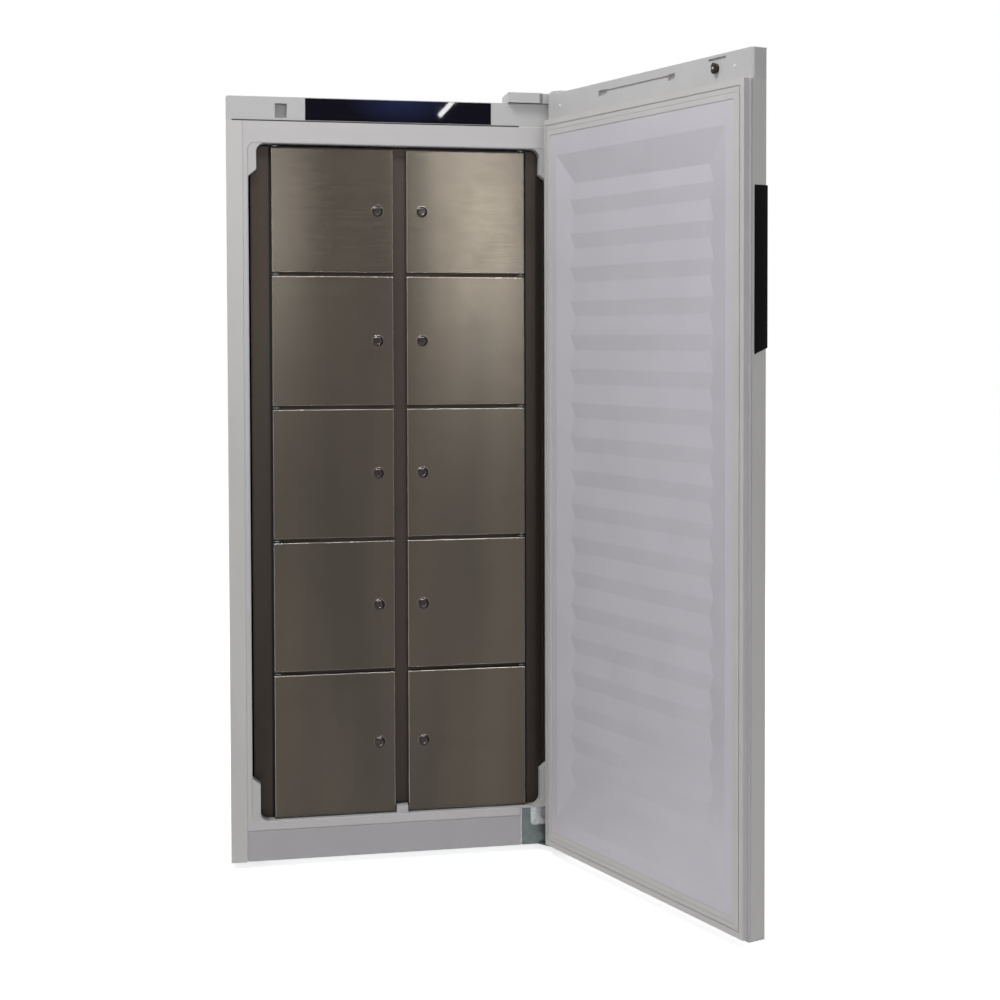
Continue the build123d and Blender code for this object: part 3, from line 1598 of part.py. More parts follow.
# Door top cap
# Moulded cap over the door's head. Its inner face has a long shallow recess with two deeper
# ends, a square recess round the lock and a slot above it.
def make_door_top_cap():
    face = door_cap_depth
    wall = door_cap_wall
    skin = door_thickness - door_sheet
    recess_z = door_top - recess_drop
    recess_end = recess_length / 2 - recess_end_inset
    with BuildPart() as door_top_cap:
        with BuildSketch(door_level(cap_z)) as block:
            span(-door_half, door_half, door_y(skin), door_y(face))
            fillet(block.vertices().group_by(Axis.Y)[-1], door_cap_corner)
        extrude(amount=skin_top - cap_z)
        with BuildSketch(door_level(skin_top)) as lid:
            span(-door_half, door_half, door_y(door_thickness), door_y(face))
            fillet(lid.vertices().group_by(Axis.Y)[-1], door_cap_corner)
            fillet(lid.vertices().group_by(Axis.Y)[0], shell_bend)
        extrude(amount=door_cap_lid)
        with BuildSketch(door_level(cap_z)) as room:
            span(-door_half + wall, door_half - wall, door_y(skin), door_y(face + wall))
        extrude(amount=skin_top - cap_z, mode=Mode.SUBTRACT)
        with BuildSketch(plan_view(door_top - bush_length - 2)) as tower:
            with Locations((hinge_x, hinge_y)):
                Circle(bush_radius + bush_wall)
        extrude(amount=bush_length)
        with BuildSketch(plan_view(door_top - bush_length)) as bush_bore:
            with Locations((hinge_x, hinge_y)):
                Circle(bush_radius)
        extrude(amount=bush_length, mode=Mode.SUBTRACT)
        with BuildSketch(door_face(face)) as long_recess:
            with Locations((0, recess_z)):
                SlotOverall(recess_length, recess_width)
        extrude(amount=recess_depth, mode=Mode.SUBTRACT)
        with BuildSketch(door_face(face)) as deep_ends:
            with Locations((-recess_end, recess_z), (recess_end, recess_z)):
                SlotOverall(recess_end_length, recess_end_width)
        extrude(amount=recess_end_depth, mode=Mode.SUBTRACT)
        with BuildSketch(door_face(face)) as lock_recess:
            span(lock_x - lock_recess_left, lock_x + lock_recess_right,
                 lock_z - lock_recess_half, lock_z + lock_recess_half)
            fillet(lock_recess.vertices(), lock_recess_corner)
        extrude(amount=lock_recess_depth, mode=Mode.SUBTRACT)
        with BuildSketch(door_face(face)) as slot_and_bore:
            with Locations((lock_x - cap_slot_offset, door_top - cap_slot_drop)):
                SlotOverall(cap_slot_length, cap_slot_width)
            with Locations((lock_x, lock_z)):
                Circle(lock_barrel_radius)
        extrude(amount=wall, mode=Mode.SUBTRACT)
    door_top_cap.part.label = "door_top_cap"
    export_step(door_top_cap.part, "parts/door_top_cap.step")


# Door bottom cap
# Moulded strip under the door, with the bore of the lower bush.
def make_door_bottom_cap():
    with BuildPart() as door_bottom_cap:
        with BuildSketch(door_level(door_foot)) as strip:
            span(-door_half, door_half, door_y(door_thickness), door_y(door_flange_depth))
            fillet(strip.vertices(), shell_bend)
        extrude(amount=door_bottom_cap_height)
        with BuildSketch(plan_view(door_foot)) as bush_bore:
            with Locations((hinge_x, hinge_y)):
                Circle(bush_radius)
        extrude(amount=door_bottom_cap_height, mode=Mode.SUBTRACT)
    door_bottom_cap.part.label = "door_bottom_cap"
    export_step(door_bottom_cap.part, "parts/door_bottom_cap.step")


# Door bushes
# Plastic bearings of the two hinge pins. The lower one has a flange that the door rests on.
def make_door_bushes():
    bore = pin_radius + pin_clearance
    with BuildPart() as door_bushes:
        with BuildSketch(plan_view(door_foot - bush_flange)) as flange:
            with Locations((hinge_x, hinge_y)):
                Circle(bush_radius + bush_wall)
        extrude(amount=bush_flange)
        with BuildSketch(plan_view(door_foot)) as lower:
            with Locations((hinge_x, hinge_y)):
                Circle(bush_radius)
        extrude(amount=bush_length)
        with BuildSketch(plan_view(door_top - bush_length)) as upper:
            with Locations((hinge_x, hinge_y)):
                Circle(bush_radius)
        extrude(amount=bush_length)
        with BuildSketch(plan_view(door_foot - bush_flange)) as bores:
            with Locations((hinge_x, hinge_y)):
                Circle(bore)
        extrude(amount=door_top - door_foot + bush_flange, mode=Mode.SUBTRACT)
    door_bushes.part.label = "door_bushes"
    export_step(door_bushes.part, "parts/door_bushes.step")


# Door grip
# Black extruded strip along the free edge: it covers the steel side and folds round onto the
# outer face, where it has a finger groove. Its lower end is cut on a slant.
def make_door_grip():
    low = door_top - grip_drop - grip_length
    side = -door_half
    outer = door_thickness + grip_proud
    groove = side + grip_wrap - finger_groove_edge
    with BuildPart() as door_grip:
        with BuildSketch(door_level(low)) as section:
            Polygon(
                (side - grip_thickness, door_y(grip_start)),
                (side, door_y(grip_start)),
                (side, door_y(door_thickness)),
                (side + grip_wrap, door_y(door_thickness)),
                (side + grip_wrap, door_y(outer)),
                (groove, door_y(outer)),
                (groove - finger_groove_depth, door_y(outer - finger_groove_depth)),
                (groove - finger_groove_width + finger_groove_depth, door_y(outer - finger_groove_depth)),
                (groove - finger_groove_width, door_y(outer)),
                (side - grip_thickness, door_y(outer)),
                align=None,
            )
            fillet(section.vertices().sort_by(Axis.X)[0:2], grip_edge)
        extrude(amount=grip_length)
        with BuildSketch(door_section(side + grip_wrap)) as slant:
            Polygon((grip_start, low), (outer, low), (outer, low + grip_slant), align=None)
        extrude(amount=grip_wrap + grip_thickness, mode=Mode.SUBTRACT)
    door_grip.part.label = "door_grip"
    export_step(door_grip.part, "parts/door_grip.step")


# Door lock
# Barrel set into the top cap, and the hook that turns in it. The hook's finger enters the
# cabinet's keeper, and its flag turns in behind the wall.
def make_door_lock():
    face = door_cap_depth
    front = face - lock_barrel_depth
    with BuildPart() as door_lock:
        with BuildSketch(door_face(front)) as barrel:
            with Locations((lock_x, lock_z)):
                Circle(lock_barrel_radius)
        extrude(amount=lock_barrel_depth + 2 * door_cap_wall + lock_tail)
        with BuildSketch(door_face(face + door_cap_wall)) as nut:
            with Locations((lock_x, lock_z)):
                RegularPolygon(lock_barrel_radius + barrel_nut_edge, 6)
        extrude(amount=barrel_nut_thickness)
        with BuildSketch(door_face(front)) as bore:
            with Locations((lock_x, lock_z)):
                Circle(lock_plug_radius + plug_clearance)
        extrude(amount=lock_barrel_depth + 2 * door_cap_wall + lock_tail, mode=Mode.SUBTRACT)
    door_lock.part.label = "door_lock"
    export_step(door_lock.part, "parts/door_lock.step")


def make_door_hook():
    face = door_cap_depth
    plate_back = face - lock_barrel_depth - hook_gap
    plate_front = plate_back - hook_plate
    tip = plate_back - hook_finger
    half = hook_width / 2
    finger_z = lock_z - hook_radius
    with BuildPart() as door_hook:
        with BuildSketch(door_face(plate_front)) as plug:
            with Locations((lock_x, lock_z)):
                Circle(lock_plug_radius)
        extrude(amount=hook_plate + hook_gap + lock_barrel_depth + door_cap_wall)
        with BuildSketch(door_face(plate_front)) as arm:
            with Locations((lock_x, lock_z)):
                Circle(lock_barrel_radius)
            span(lock_x - half, lock_x + half, finger_z - half, lock_z)
        extrude(amount=hook_plate)
        with BuildSketch(door_face(tip)) as finger:
            span(lock_x - half, lock_x + half, finger_z - half, finger_z + half)
        extrude(amount=hook_finger)
        with BuildSketch(door_face(tip)) as flag:
            span(lock_x - half, lock_x + half + hook_flag, finger_z - half, finger_z + half)
        extrude(amount=hook_flag_depth)
    door_hook.part.label = "door_hook"
    export_step(door_hook.part, "parts/door_hook.step")


# The whole refrigerator
make_outer_shell()
make_back_panel()
make_inner_liner()
make_insulation()
make_base_deck()
make_base_frame()
make_levelling_feet()
make_lower_panel()
make_control_panel()
make_display_glass()
make_lock_keeper()
make_spacer_blocks()
make_locker_carcass()
make_locker_divider()
make_locker_shelves()
make_locker_pivots()
for row in range(len(row_heights)):
    for side in (-1, 1):
        make_locker_door(side, row)
        make_locker_lock(side, row)
make_air_duct_cover()
frame_y, hub_back = make_fan_housing()
make_fan_rotor(frame_y, hub_back)
make_evaporator()
make_compressor()
make_condenser()
make_evaporation_tray()
make_terminal_box()
make_refrigerant_pipes()
make_top_hinge()
make_top_hinge_cover()
make_bottom_hinge()
make_screws()
make_door_liner()
make_door_foam()
make_door_skin()
make_door_gasket()
make_door_top_cap()
make_door_bottom_cap()
make_door_bushes()
make_door_grip()
make_door_lock()
make_door_hook()
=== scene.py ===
import json
import math
import bmesh
import bpy
from mathutils import Matrix, Vector


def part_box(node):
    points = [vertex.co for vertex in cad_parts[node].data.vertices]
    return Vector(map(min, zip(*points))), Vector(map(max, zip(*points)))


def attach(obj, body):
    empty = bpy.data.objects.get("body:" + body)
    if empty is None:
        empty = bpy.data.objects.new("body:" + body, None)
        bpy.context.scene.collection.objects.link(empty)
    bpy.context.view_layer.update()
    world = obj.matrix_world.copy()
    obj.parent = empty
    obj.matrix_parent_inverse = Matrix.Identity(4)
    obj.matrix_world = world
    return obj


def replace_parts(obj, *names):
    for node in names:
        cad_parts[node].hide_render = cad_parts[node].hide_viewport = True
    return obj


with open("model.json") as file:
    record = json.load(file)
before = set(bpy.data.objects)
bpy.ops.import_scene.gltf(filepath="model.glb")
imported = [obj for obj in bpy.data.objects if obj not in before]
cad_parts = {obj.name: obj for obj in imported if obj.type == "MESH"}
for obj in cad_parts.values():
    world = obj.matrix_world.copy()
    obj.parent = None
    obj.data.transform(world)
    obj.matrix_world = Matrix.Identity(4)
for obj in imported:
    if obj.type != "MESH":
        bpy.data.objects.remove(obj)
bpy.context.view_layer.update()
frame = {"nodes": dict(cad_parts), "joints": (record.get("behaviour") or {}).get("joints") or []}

# Camera
# The photograph's place: in line with the cabinet's left side, at two thirds of its height, and
# turned to the right towards the open door. The shift keeps the upright lines almost parallel.
camera_data = bpy.data.cameras.new("camera")
camera_data.sensor_width = 36.0
camera_data.lens = 61.7
camera_data.shift_x = -0.09
camera_data.shift_y = -0.105
camera = bpy.data.objects.new("camera", camera_data)
camera.location = (-0.370, -3.742, 1.140)
camera.rotation_euler = (math.radians(88.18), math.radians(0.06), math.radians(-11.94))
bpy.context.scene.collection.objects.link(camera)
bpy.context.scene.camera = camera
bpy.context.scene.view_settings.view_transform = "Standard"


# Studio
# A pale floor and a white surround. Both look plain white to the eye and in reflections, and
# only the object's own shadow greys the floor round its foot.
def linear(hex_colour):
    """Linear red, green, blue and alpha of an sRGB hex value."""
    parts = [int(hex_colour[i:i + 2], 16) / 255 for i in (1, 3, 5)]
    return [p / 12.92 if p <= 0.04045 else ((p + 0.055) / 1.055) ** 2.4 for p in parts] + [1.0]


def put(tree, kind, feeds=None, **settings):
    """Adds a node with its settings. feeds gives an input its value or the output that drives it."""
    node = tree.nodes.new("ShaderNode" + kind)
    for name, value in settings.items():
        setattr(node, name, value)
    for name, value in (feeds or {}).items():
        if isinstance(value, bpy.types.NodeSocket):
            tree.links.new(value, node.inputs[name])
        else:
            node.inputs[name].default_value = value
    return node


def white_to_the_eye(tree):
    """1 for rays that come from the camera, a reflection or a clear material, and 0 for light."""
    ray = put(tree, "LightPath")
    seen = put(tree, "Math", {0: ray.outputs["Is Camera Ray"], 1: ray.outputs["Is Glossy Ray"]},
               operation="MAXIMUM")
    return put(tree, "Math", {0: seen.outputs[0], 1: ray.outputs["Is Transmission Ray"]},
               operation="MAXIMUM").outputs[0]


surround = bpy.data.worlds.new("surround")
surround.use_nodes = True
surround.node_tree.nodes.clear()
sky = surround.node_tree
room_light = put(sky, "Background", {"Color": linear("#F1F1F5"), "Strength": 0.37})
plain_white = put(sky, "Background", {"Color": linear("#FFFFFF"), "Strength": 1.0})
both = put(sky, "MixShader", {0: white_to_the_eye(sky), 1: room_light.outputs[0],
                              2: plain_white.outputs[0]})
put(sky, "OutputWorld", {"Surface": both.outputs[0]})
bpy.context.scene.world = surround

floor_half = 30.0
floor_mesh = bmesh.new()
bmesh.ops.create_grid(floor_mesh, x_segments=1, y_segments=1, size=floor_half)
floor_data = bpy.data.meshes.new("floor")
floor_mesh.to_mesh(floor_data)
floor_mesh.free()
floor = bpy.data.objects.new("floor", floor_data)
bpy.context.scene.collection.objects.link(floor)
pale_floor = bpy.data.materials.new("pale_floor")
pale_floor.use_nodes = True
pale_floor.node_tree.nodes.clear()
ground = pale_floor.node_tree
matt = put(ground, "BsdfDiffuse", {"Color": linear("#F2F2F2")})
paper = put(ground, "Emission", {"Color": linear("#DCDCDC"), "Strength": 1.0})
lit_paper = put(ground, "AddShader", {0: paper.outputs[0], 1: matt.outputs[0]})
floor_look = put(ground, "MixShader", {0: white_to_the_eye(ground), 1: matt.outputs[0],
                                       2: lit_paper.outputs[0]})
put(ground, "OutputMaterial", {"Surface": floor_look.outputs[0]})
floor_data.materials.append(pale_floor)

# Lamps
# A soft lamp under the ceiling shades the door's ribs from above, and a batten shows in the
# folds and locks. Two lamps like windows stand in the brushed steel as long reflections, a slim
# tube lies in the display glass as a slanted streak, and a broad lamp lights the back.
# Name, place, aim, width and height in metres, lean in degrees, watts.
for name, place, aim, width, height, lean, watts in (
    ("lamp_ceiling", (-1.5, -1.25, 3.9), (0.3, -0.3, 0.9), 1.2, 1.2, 0.0, 70.0),
    ("lamp_batten", (0.1, -1.9, 3.4), (0.0, 0.0, 1.0), 2.6, 0.40, 0.0, 70.0),
    ("lamp_window_right", (0.75, -3.82, 1.70), (0.15, 0.0, 1.5), 0.22, 0.72, -18.0, 14.0),
    ("lamp_window_left", (-0.36, -3.82, 1.72), (-0.2, 0.0, 1.5), 0.34, 0.66, 0.0, 11.0),
    ("lamp_tube", (0.588, -3.80, 2.170), (0.105, 0.0, 1.650), 0.115, 0.020, -47.0, 1.9),
    ("lamp_back", (1.8, 3.4, 2.8), (0.0, 0.4, 0.9), 2.0, 2.0, 0.0, 34.0),
):
    lamp = bpy.data.lights.new(name, "AREA")
    lamp.shape = "RECTANGLE"
    lamp.size = width
    lamp.size_y = height
    lamp.energy = watts
    stand = bpy.data.objects.new(name, lamp)
    stand.location = place
    turn = (Vector(aim) - Vector(place)).to_track_quat("-Z", "Y").to_matrix()
    stand.rotation_euler = (turn @ Matrix.Rotation(math.radians(-lean), 3, "Z")).to_euler()
    bpy.context.scene.collection.objects.link(stand)
# The batten under the ceiling and the right window only show in reflections.
bpy.data.objects["lamp_batten"].visible_diffuse = False
bpy.data.objects["lamp_window_right"].visible_diffuse = False


# Cabinet shell, door skin and lower panel
# Cold-rolled sheet with a baked light grey coating, folded to shape. The eye gets an even satin
# grey with a fine orange-peel texture and rounded folds.
def finish_of(name):
    """A new material with its main shader, which is joined to the output."""
    material = bpy.data.materials.new(name)
    material.use_nodes = True
    material.node_tree.nodes.clear()
    shader = put(material.node_tree, "BsdfPrincipled")
    put(material.node_tree, "OutputMaterial", {"Surface": shader.outputs[0]})
    return material, shader


def dress(nodes, material):
    """Gives carried-over pieces their finish."""
    for name in nodes:
        mesh = frame["nodes"][name].data
        mesh.materials.clear()
        mesh.materials.append(material)


def coated_sheet(name, colour, peel_mm, roughness):
    clouds_per_metre, darkest = 3.0, 0.95
    fold_radius, peel_height = 0.0008, 0.0004
    material, shader = finish_of(name)
    tree = material.node_tree
    place = put(tree, "TexCoord")
    peel = put(tree, "TexNoise", {"Vector": place.outputs["Object"], "Scale": 1000 / peel_mm,
                                  "Detail": 2.0})
    shade = put(tree, "TexNoise", {"Vector": place.outputs["Object"], "Scale": clouds_per_metre,
                                   "Detail": 3.0})
    tone = put(tree, "ValToRGB", {0: shade.outputs[0]})
    tone.color_ramp.elements[0].position = 0.3
    tone.color_ramp.elements[0].color = [c * darkest for c in linear(colour)[:3]] + [1.0]
    tone.color_ramp.elements[1].position = 0.7
    tone.color_ramp.elements[1].color = linear(colour)
    gloss = put(tree, "MapRange", {0: shade.outputs[0], 3: roughness - 0.04, 4: roughness + 0.05})
    fold = put(tree, "Bevel", {"Radius": fold_radius}, samples=4)
    skin = put(tree, "Bump", {"Height": peel.outputs[0], "Strength": 0.06, "Distance": peel_height,
                              "Normal": fold.outputs[0]})
    for socket, value in (("Base Color", tone.outputs[0]), ("Roughness", gloss.outputs[0]),
                          ("Normal", skin.outputs[0])):
        tree.links.new(value, shader.inputs[socket])
    shader.inputs["IOR"].default_value = 1.5
    return material


grey_coating = coated_sheet("grey_coated_steel", "#C6C5C2", 2.2, 0.36)
dress(["outer_shell", "door_skin"], grey_coating)
dress(["lower_panel"], coated_sheet("panel_coated_steel", "#AFADAE", 2.2, 0.4))


# Back panel, base deck and base frame
# Hot-dip galvanised sheet, left bare. It shows grey spangle, flat crystals of about 8 mm that
# each catch the light in their own way.
def galvanised_sheet():
    spangle_mm, bends_per_metre, bend_reach = 8.0, 140.0, 0.012
    fold_radius, relief_height = 0.0006, 0.0003
    material, shader = finish_of("galvanised_sheet")
    tree = material.node_tree
    place = put(tree, "TexCoord")
    bend = put(tree, "TexNoise", {"Vector": place.outputs["Object"], "Scale": bends_per_metre,
                                  "Detail": 2.0})
    spread = put(tree, "MixRGB", {0: bend_reach, 1: place.outputs["Object"], 2: bend.outputs["Color"]},
                 blend_type="ADD")
    crystal = put(tree, "TexVoronoi", {"Vector": spread.outputs[0], "Scale": 1000 / spangle_mm})
    tone = put(tree, "ValToRGB", {0: crystal.outputs["Color"]})
    tone.color_ramp.elements[0].position = 0.2
    tone.color_ramp.elements[0].color = linear("#9B9EA0")
    tone.color_ramp.elements[1].position = 0.8
    tone.color_ramp.elements[1].color = linear("#B3B6B7")
    gloss = put(tree, "MapRange", {0: crystal.outputs["Color"], 3: 0.34, 4: 0.52})
    fold = put(tree, "Bevel", {"Radius": fold_radius}, samples=4)
    relief = put(tree, "Bump", {"Height": crystal.outputs["Distance"], "Strength": 0.08,
                                "Distance": relief_height, "Normal": fold.outputs[0]})
    for socket, value in (("Base Color", tone.outputs[0]), ("Roughness", gloss.outputs[0]),
                          ("Normal", relief.outputs[0])):
        tree.links.new(value, shader.inputs[socket])
    shader.inputs["Metallic"].default_value = 1.0
    return material


dress(["back_panel", "base_deck", "base_frame"], galvanised_sheet())


# Liner, air duct cover and door liner
# Polystyrene sheet, drawn hot over a mould. The eye gets a smooth soft gloss, a slow waviness
# where the sheet has thinned, and rounded corners.
def formed_sheet(name, colour):
    waves_per_metre, grains_per_metre, darkest = 9.0, 1400.0, 0.965
    corner_radius, wave_height, grain_height = 0.005, 0.004, 0.0002
    material, shader = finish_of(name)
    tree = material.node_tree
    place = put(tree, "TexCoord")
    wave = put(tree, "TexNoise", {"Vector": place.outputs["Object"], "Scale": waves_per_metre,
                                  "Detail": 1.0})
    grain = put(tree, "TexNoise", {"Vector": place.outputs["Object"], "Scale": grains_per_metre,
                                   "Detail": 2.0})
    tone = put(tree, "ValToRGB", {0: wave.outputs[0]})
    tone.color_ramp.elements[0].position = 0.3
    tone.color_ramp.elements[0].color = [c * darkest for c in linear(colour)[:3]] + [1.0]
    tone.color_ramp.elements[1].position = 0.7
    tone.color_ramp.elements[1].color = linear(colour)
    gloss = put(tree, "MapRange", {0: wave.outputs[0], 3: 0.38, 4: 0.48})
    corner = put(tree, "Bevel", {"Radius": corner_radius}, samples=8)
    slow = put(tree, "Bump", {"Height": wave.outputs[0], "Strength": 0.15, "Distance": wave_height,
                              "Normal": corner.outputs[0]})
    fine = put(tree, "Bump", {"Height": grain.outputs[0], "Strength": 0.05, "Distance": grain_height,
                              "Normal": slow.outputs[0]})
    for socket, value in (("Base Color", tone.outputs[0]), ("Roughness", gloss.outputs[0]),
                          ("Normal", fine.outputs[0])):
        tree.links.new(value, shader.inputs[socket])
    shader.inputs["IOR"].default_value = 1.55
    return material


dress(["inner_liner", "air_duct_cover"], formed_sheet("liner_polystyrene", "#C1BFBF"))
dress(["door_liner"], formed_sheet("door_liner_polystyrene", "#C4C1C7"))


# Insulation
# Rigid polyurethane foam, poured between shell and liner. It shows only at cut edges, as a
# pale yellow mass of small closed bubbles.
def rigid_foam():
    # Real bubbles are 0.3 mm across; here 1.1 mm, so that they show.
    bubbles_per_metre, bubble_depth = 900.0, 0.0006
    material, shader = finish_of("rigid_foam")
    tree = material.node_tree
    place = put(tree, "TexCoord")
    bubble = put(tree, "TexVoronoi", {"Vector": place.outputs["Object"], "Scale": bubbles_per_metre})
    tone = put(tree, "ValToRGB", {0: bubble.outputs["Distance"]})
    tone.color_ramp.elements[0].color = linear("#B9A66A")
    tone.color_ramp.elements[1].color = linear("#E0D29A")
    relief = put(tree, "Bump", {"Height": bubble.outputs["Distance"], "Strength": 0.5,
                                "Distance": bubble_depth})
    tree.links.new(tone.outputs[0], shader.inputs["Base Color"])
    tree.links.new(relief.outputs[0], shader.inputs["Normal"])
    shader.inputs["Roughness"].default_value = 0.95
    return material


dress(["insulation", "door_foam"], rigid_foam())


# Moulded plastic pieces
# Injection-moulded ABS and polypropylene with a fine spark-eroded grain. The eye gets an even
# colour, a soft sheen and slightly worn, brighter corners.
def moulded_plastic(name, colour, worn_colour, roughness, grain_mm, grain_strength=0.12):
    clouds_per_metre, darkest = 14.0, 0.95
    corner_radius, grain_height = 0.0007, 0.0002
    flat_facing, edge_facing, wear_and_highlight_share = 0.98, 0.86, 0.6
    material, shader = finish_of(name)
    tree = material.node_tree
    place = put(tree, "TexCoord")
    grain = put(tree, "TexNoise", {"Vector": place.outputs["Object"], "Scale": 1000 / grain_mm,
                                   "Detail": 3.0})
    cloud = put(tree, "TexNoise", {"Vector": place.outputs["Object"], "Scale": clouds_per_metre,
                                   "Detail": 2.0})
    corner = put(tree, "Bevel", {"Radius": corner_radius}, samples=4)
    surface = put(tree, "NewGeometry")
    facing = put(tree, "VectorMath", {0: corner.outputs[0], 1: surface.outputs["Normal"]},
                 operation="DOT_PRODUCT")
    wear = put(tree, "MapRange", {0: facing.outputs["Value"], 1: flat_facing, 2: edge_facing, 3: 0.0,
                                  4: wear_and_highlight_share})
    tone = put(tree, "ValToRGB", {0: cloud.outputs[0]})
    tone.color_ramp.elements[0].position = 0.3
    tone.color_ramp.elements[0].color = [c * darkest for c in linear(colour)[:3]] + [1.0]
    tone.color_ramp.elements[1].position = 0.7
    tone.color_ramp.elements[1].color = linear(colour)
    edge = put(tree, "MixRGB", {0: wear.outputs[0], 1: tone.outputs[0], 2: linear(worn_colour)})
    gloss = put(tree, "MapRange", {0: cloud.outputs[0], 3: roughness - 0.04, 4: roughness + 0.06})
    relief = put(tree, "Bump", {"Height": grain.outputs[0], "Strength": grain_strength,
                                "Distance": grain_height, "Normal": corner.outputs[0]})
    for socket, value in (("Base Color", edge.outputs[0]), ("Roughness", gloss.outputs[0]),
                          ("Normal", relief.outputs[0])):
        tree.links.new(value, shader.inputs[socket])
    shader.inputs["IOR"].default_value = 1.53
    return material


grey_plastic = moulded_plastic("grey_abs", "#BCBBBA", "#CBCAC8", 0.36, 0.5)
dress(["control_panel", "lock_keeper", "top_hinge_cover", "door_top_cap", "door_bottom_cap"], grey_plastic)
grey_polypropylene = moulded_plastic("grey_polypropylene", "#BFBEBC", "#CDCCC9", 0.42, 0.6)
dress(["spacer_blocks"], grey_polypropylene)
black_plastic = moulded_plastic("black_polypropylene", "#1A1A1B", "#2C2C2D", 0.45, 0.6, 0.2)
dress(["levelling_feet", "fan_housing", "fan_rotor", "evaporation_tray", "terminal_box",
       "door_bushes"], black_plastic)


# Corner fillings
# The spacer blocks run out into round corners at the head and the foot of the opening, moulded of
# the same polypropylene. They lie flush with the flange.
def extruded(shape, faces, way, **settings):
    """Draws faces out along a vector and gives the moved vertices."""
    drawn = bmesh.ops.extrude_face_region(shape, geom=faces, **settings)["geom"]
    moved = [v for v in drawn if isinstance(v, bmesh.types.BMVert)]
    bmesh.ops.translate(shape, verts=moved, vec=way)
    return moved


def finished(name, shape, material, body):
    """The piece that a bmesh makes, with its faces outwards and its round edges smooth."""
    bmesh.ops.remove_doubles(shape, verts=shape.verts, dist=1e-6)
    bmesh.ops.recalc_face_normals(shape, faces=shape.faces)
    mesh = bpy.data.meshes.new(name)
    shape.to_mesh(mesh)
    shape.free()
    mesh.shade_smooth()
    mesh.set_sharp_from_angle(angle=math.radians(32))
    mesh.materials.append(material)
    piece = bpy.data.objects.new(name, mesh)
    bpy.context.scene.collection.objects.link(piece)
    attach(piece, body)
    return piece


block_edge = 0.307
opening_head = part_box("spacer_blocks")[1].z
opening_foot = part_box("spacer_blocks")[0].z
filling_radius, filling_depth = 0.018, 0.028
for name, side, end in (("upper_left", -1, 1), ("upper_right", 1, 1), ("lower_left", -1, -1),
                        ("lower_right", 1, -1)):
    edge_x = side * block_edge
    end_z = opening_head if end > 0 else opening_foot
    filling = bmesh.new()
    start = filling.verts.new((edge_x, 0, end_z - end * filling_radius))
    bmesh.ops.spin(filling, geom=[start],
                   cent=(edge_x - side * filling_radius, 0, end_z - end * filling_radius),
                   axis=(0, 1, 0), angle=-side * end * math.radians(90), steps=8)
    bend = filling.verts[:]
    root = filling.verts.new((edge_x, 0, end_z))
    plate = filling.faces.new([root] + bend)
    extruded(filling, [plate], (0, filling_depth, 0))
    finished(f"corner_filling_{name}", filling, grey_polypropylene, "cabinet")


# Panel seam shade
# A thin dark strip, soft-edged like a foam seal, lies in the joint between the control panel and
# the flange under it: painted shade for the shadow in the seam.
def block(shape, low, high):
    """Adds a box between two corners and gives its vertices."""
    middle = [(start + end) / 2 for start, end in zip(low, high)]
    spans = [end - start for start, end in zip(low, high)]
    corners = bmesh.ops.create_cube(shape, size=1.0)["verts"]
    bmesh.ops.transform(shape, verts=corners,
                        matrix=Matrix.Translation(middle) @ Matrix.Diagonal((*spans, 1)))
    return corners


def round_off(shape, edges, radius, steps):
    """Rounds some edges of a shape."""
    bmesh.ops.bevel(shape, geom=edges, offset=radius, segments=steps, profile=0.5, affect="EDGES",
                    material=-1)


def shade_strip(name, low, high, material):
    """A soft-edged strip between two corners, fixed to the cabinet."""
    edge_radius = 0.0005
    strip = bmesh.new()
    block(strip, low, high)
    round_off(strip, strip.edges[:], edge_radius, 2)
    finished(name, strip, material, "cabinet")


# Its dark grey is painted shade for the shadow in the seam.
seam_shade_foam = moulded_plastic("seam_shade_foam", "#3E3C3B", "#4A4846", 0.9, 1.2, 0.4)
seam_left, seam_right, seam_low, seam_high = -0.358, 0.262, 1.6096, 1.6126
seam_front, seam_back = -0.0002, 0.0020
shade_strip("panel_seam_shade", (seam_left, seam_front, seam_low), (seam_right, seam_back, seam_high), seam_shade_foam)


# Display glass
# Toughened glass, printed on its back and bonded into the control panel. It is smooth, dark and
# mirror-like, with the faintest cloud of finger grease in its gloss.
display_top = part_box("display_glass")[1].z


def printed_glass():
    smears_per_metre, window_reach, window_flatness = 32.0, 0.12, 2.2
    material, shader = finish_of("black_printed_glass")
    tree = material.node_tree
    place = put(tree, "TexCoord")
    grease = put(tree, "TexNoise", {"Vector": place.outputs["Object"], "Scale": smears_per_metre,
                                    "Detail": 5.0})
    gloss = put(tree, "MapRange", {0: grease.outputs[0], 1: 0.45, 2: 0.8, 3: 0.015, 4: 0.04})
    # The print is thinner over the display in the middle, where a deep blue shows.
    middle = put(tree, "Mapping", {"Vector": place.outputs["Object"],
                                   "Location": (0.0, 0.0, -window_flatness * display_top),
                                   "Scale": (1.0, 0.0, window_flatness)})
    reach = put(tree, "VectorMath", {0: middle.outputs[0]}, operation="LENGTH")
    fade = put(tree, "MapRange", {0: reach.outputs["Value"], 2: window_reach})
    tone = put(tree, "ValToRGB", {0: fade.outputs[0]})
    tone.color_ramp.elements[0].color = linear("#232B4C")
    tone.color_ramp.elements[1].color = linear("#0F0E19")
    tree.links.new(tone.outputs[0], shader.inputs["Base Color"])
    tree.links.new(gloss.outputs[0], shader.inputs["Roughness"])
    shader.inputs["IOR"].default_value = 1.5
    shader.inputs["Specular IOR Level"].default_value = 0.04
    return material


dress(["display_glass"], printed_glass())
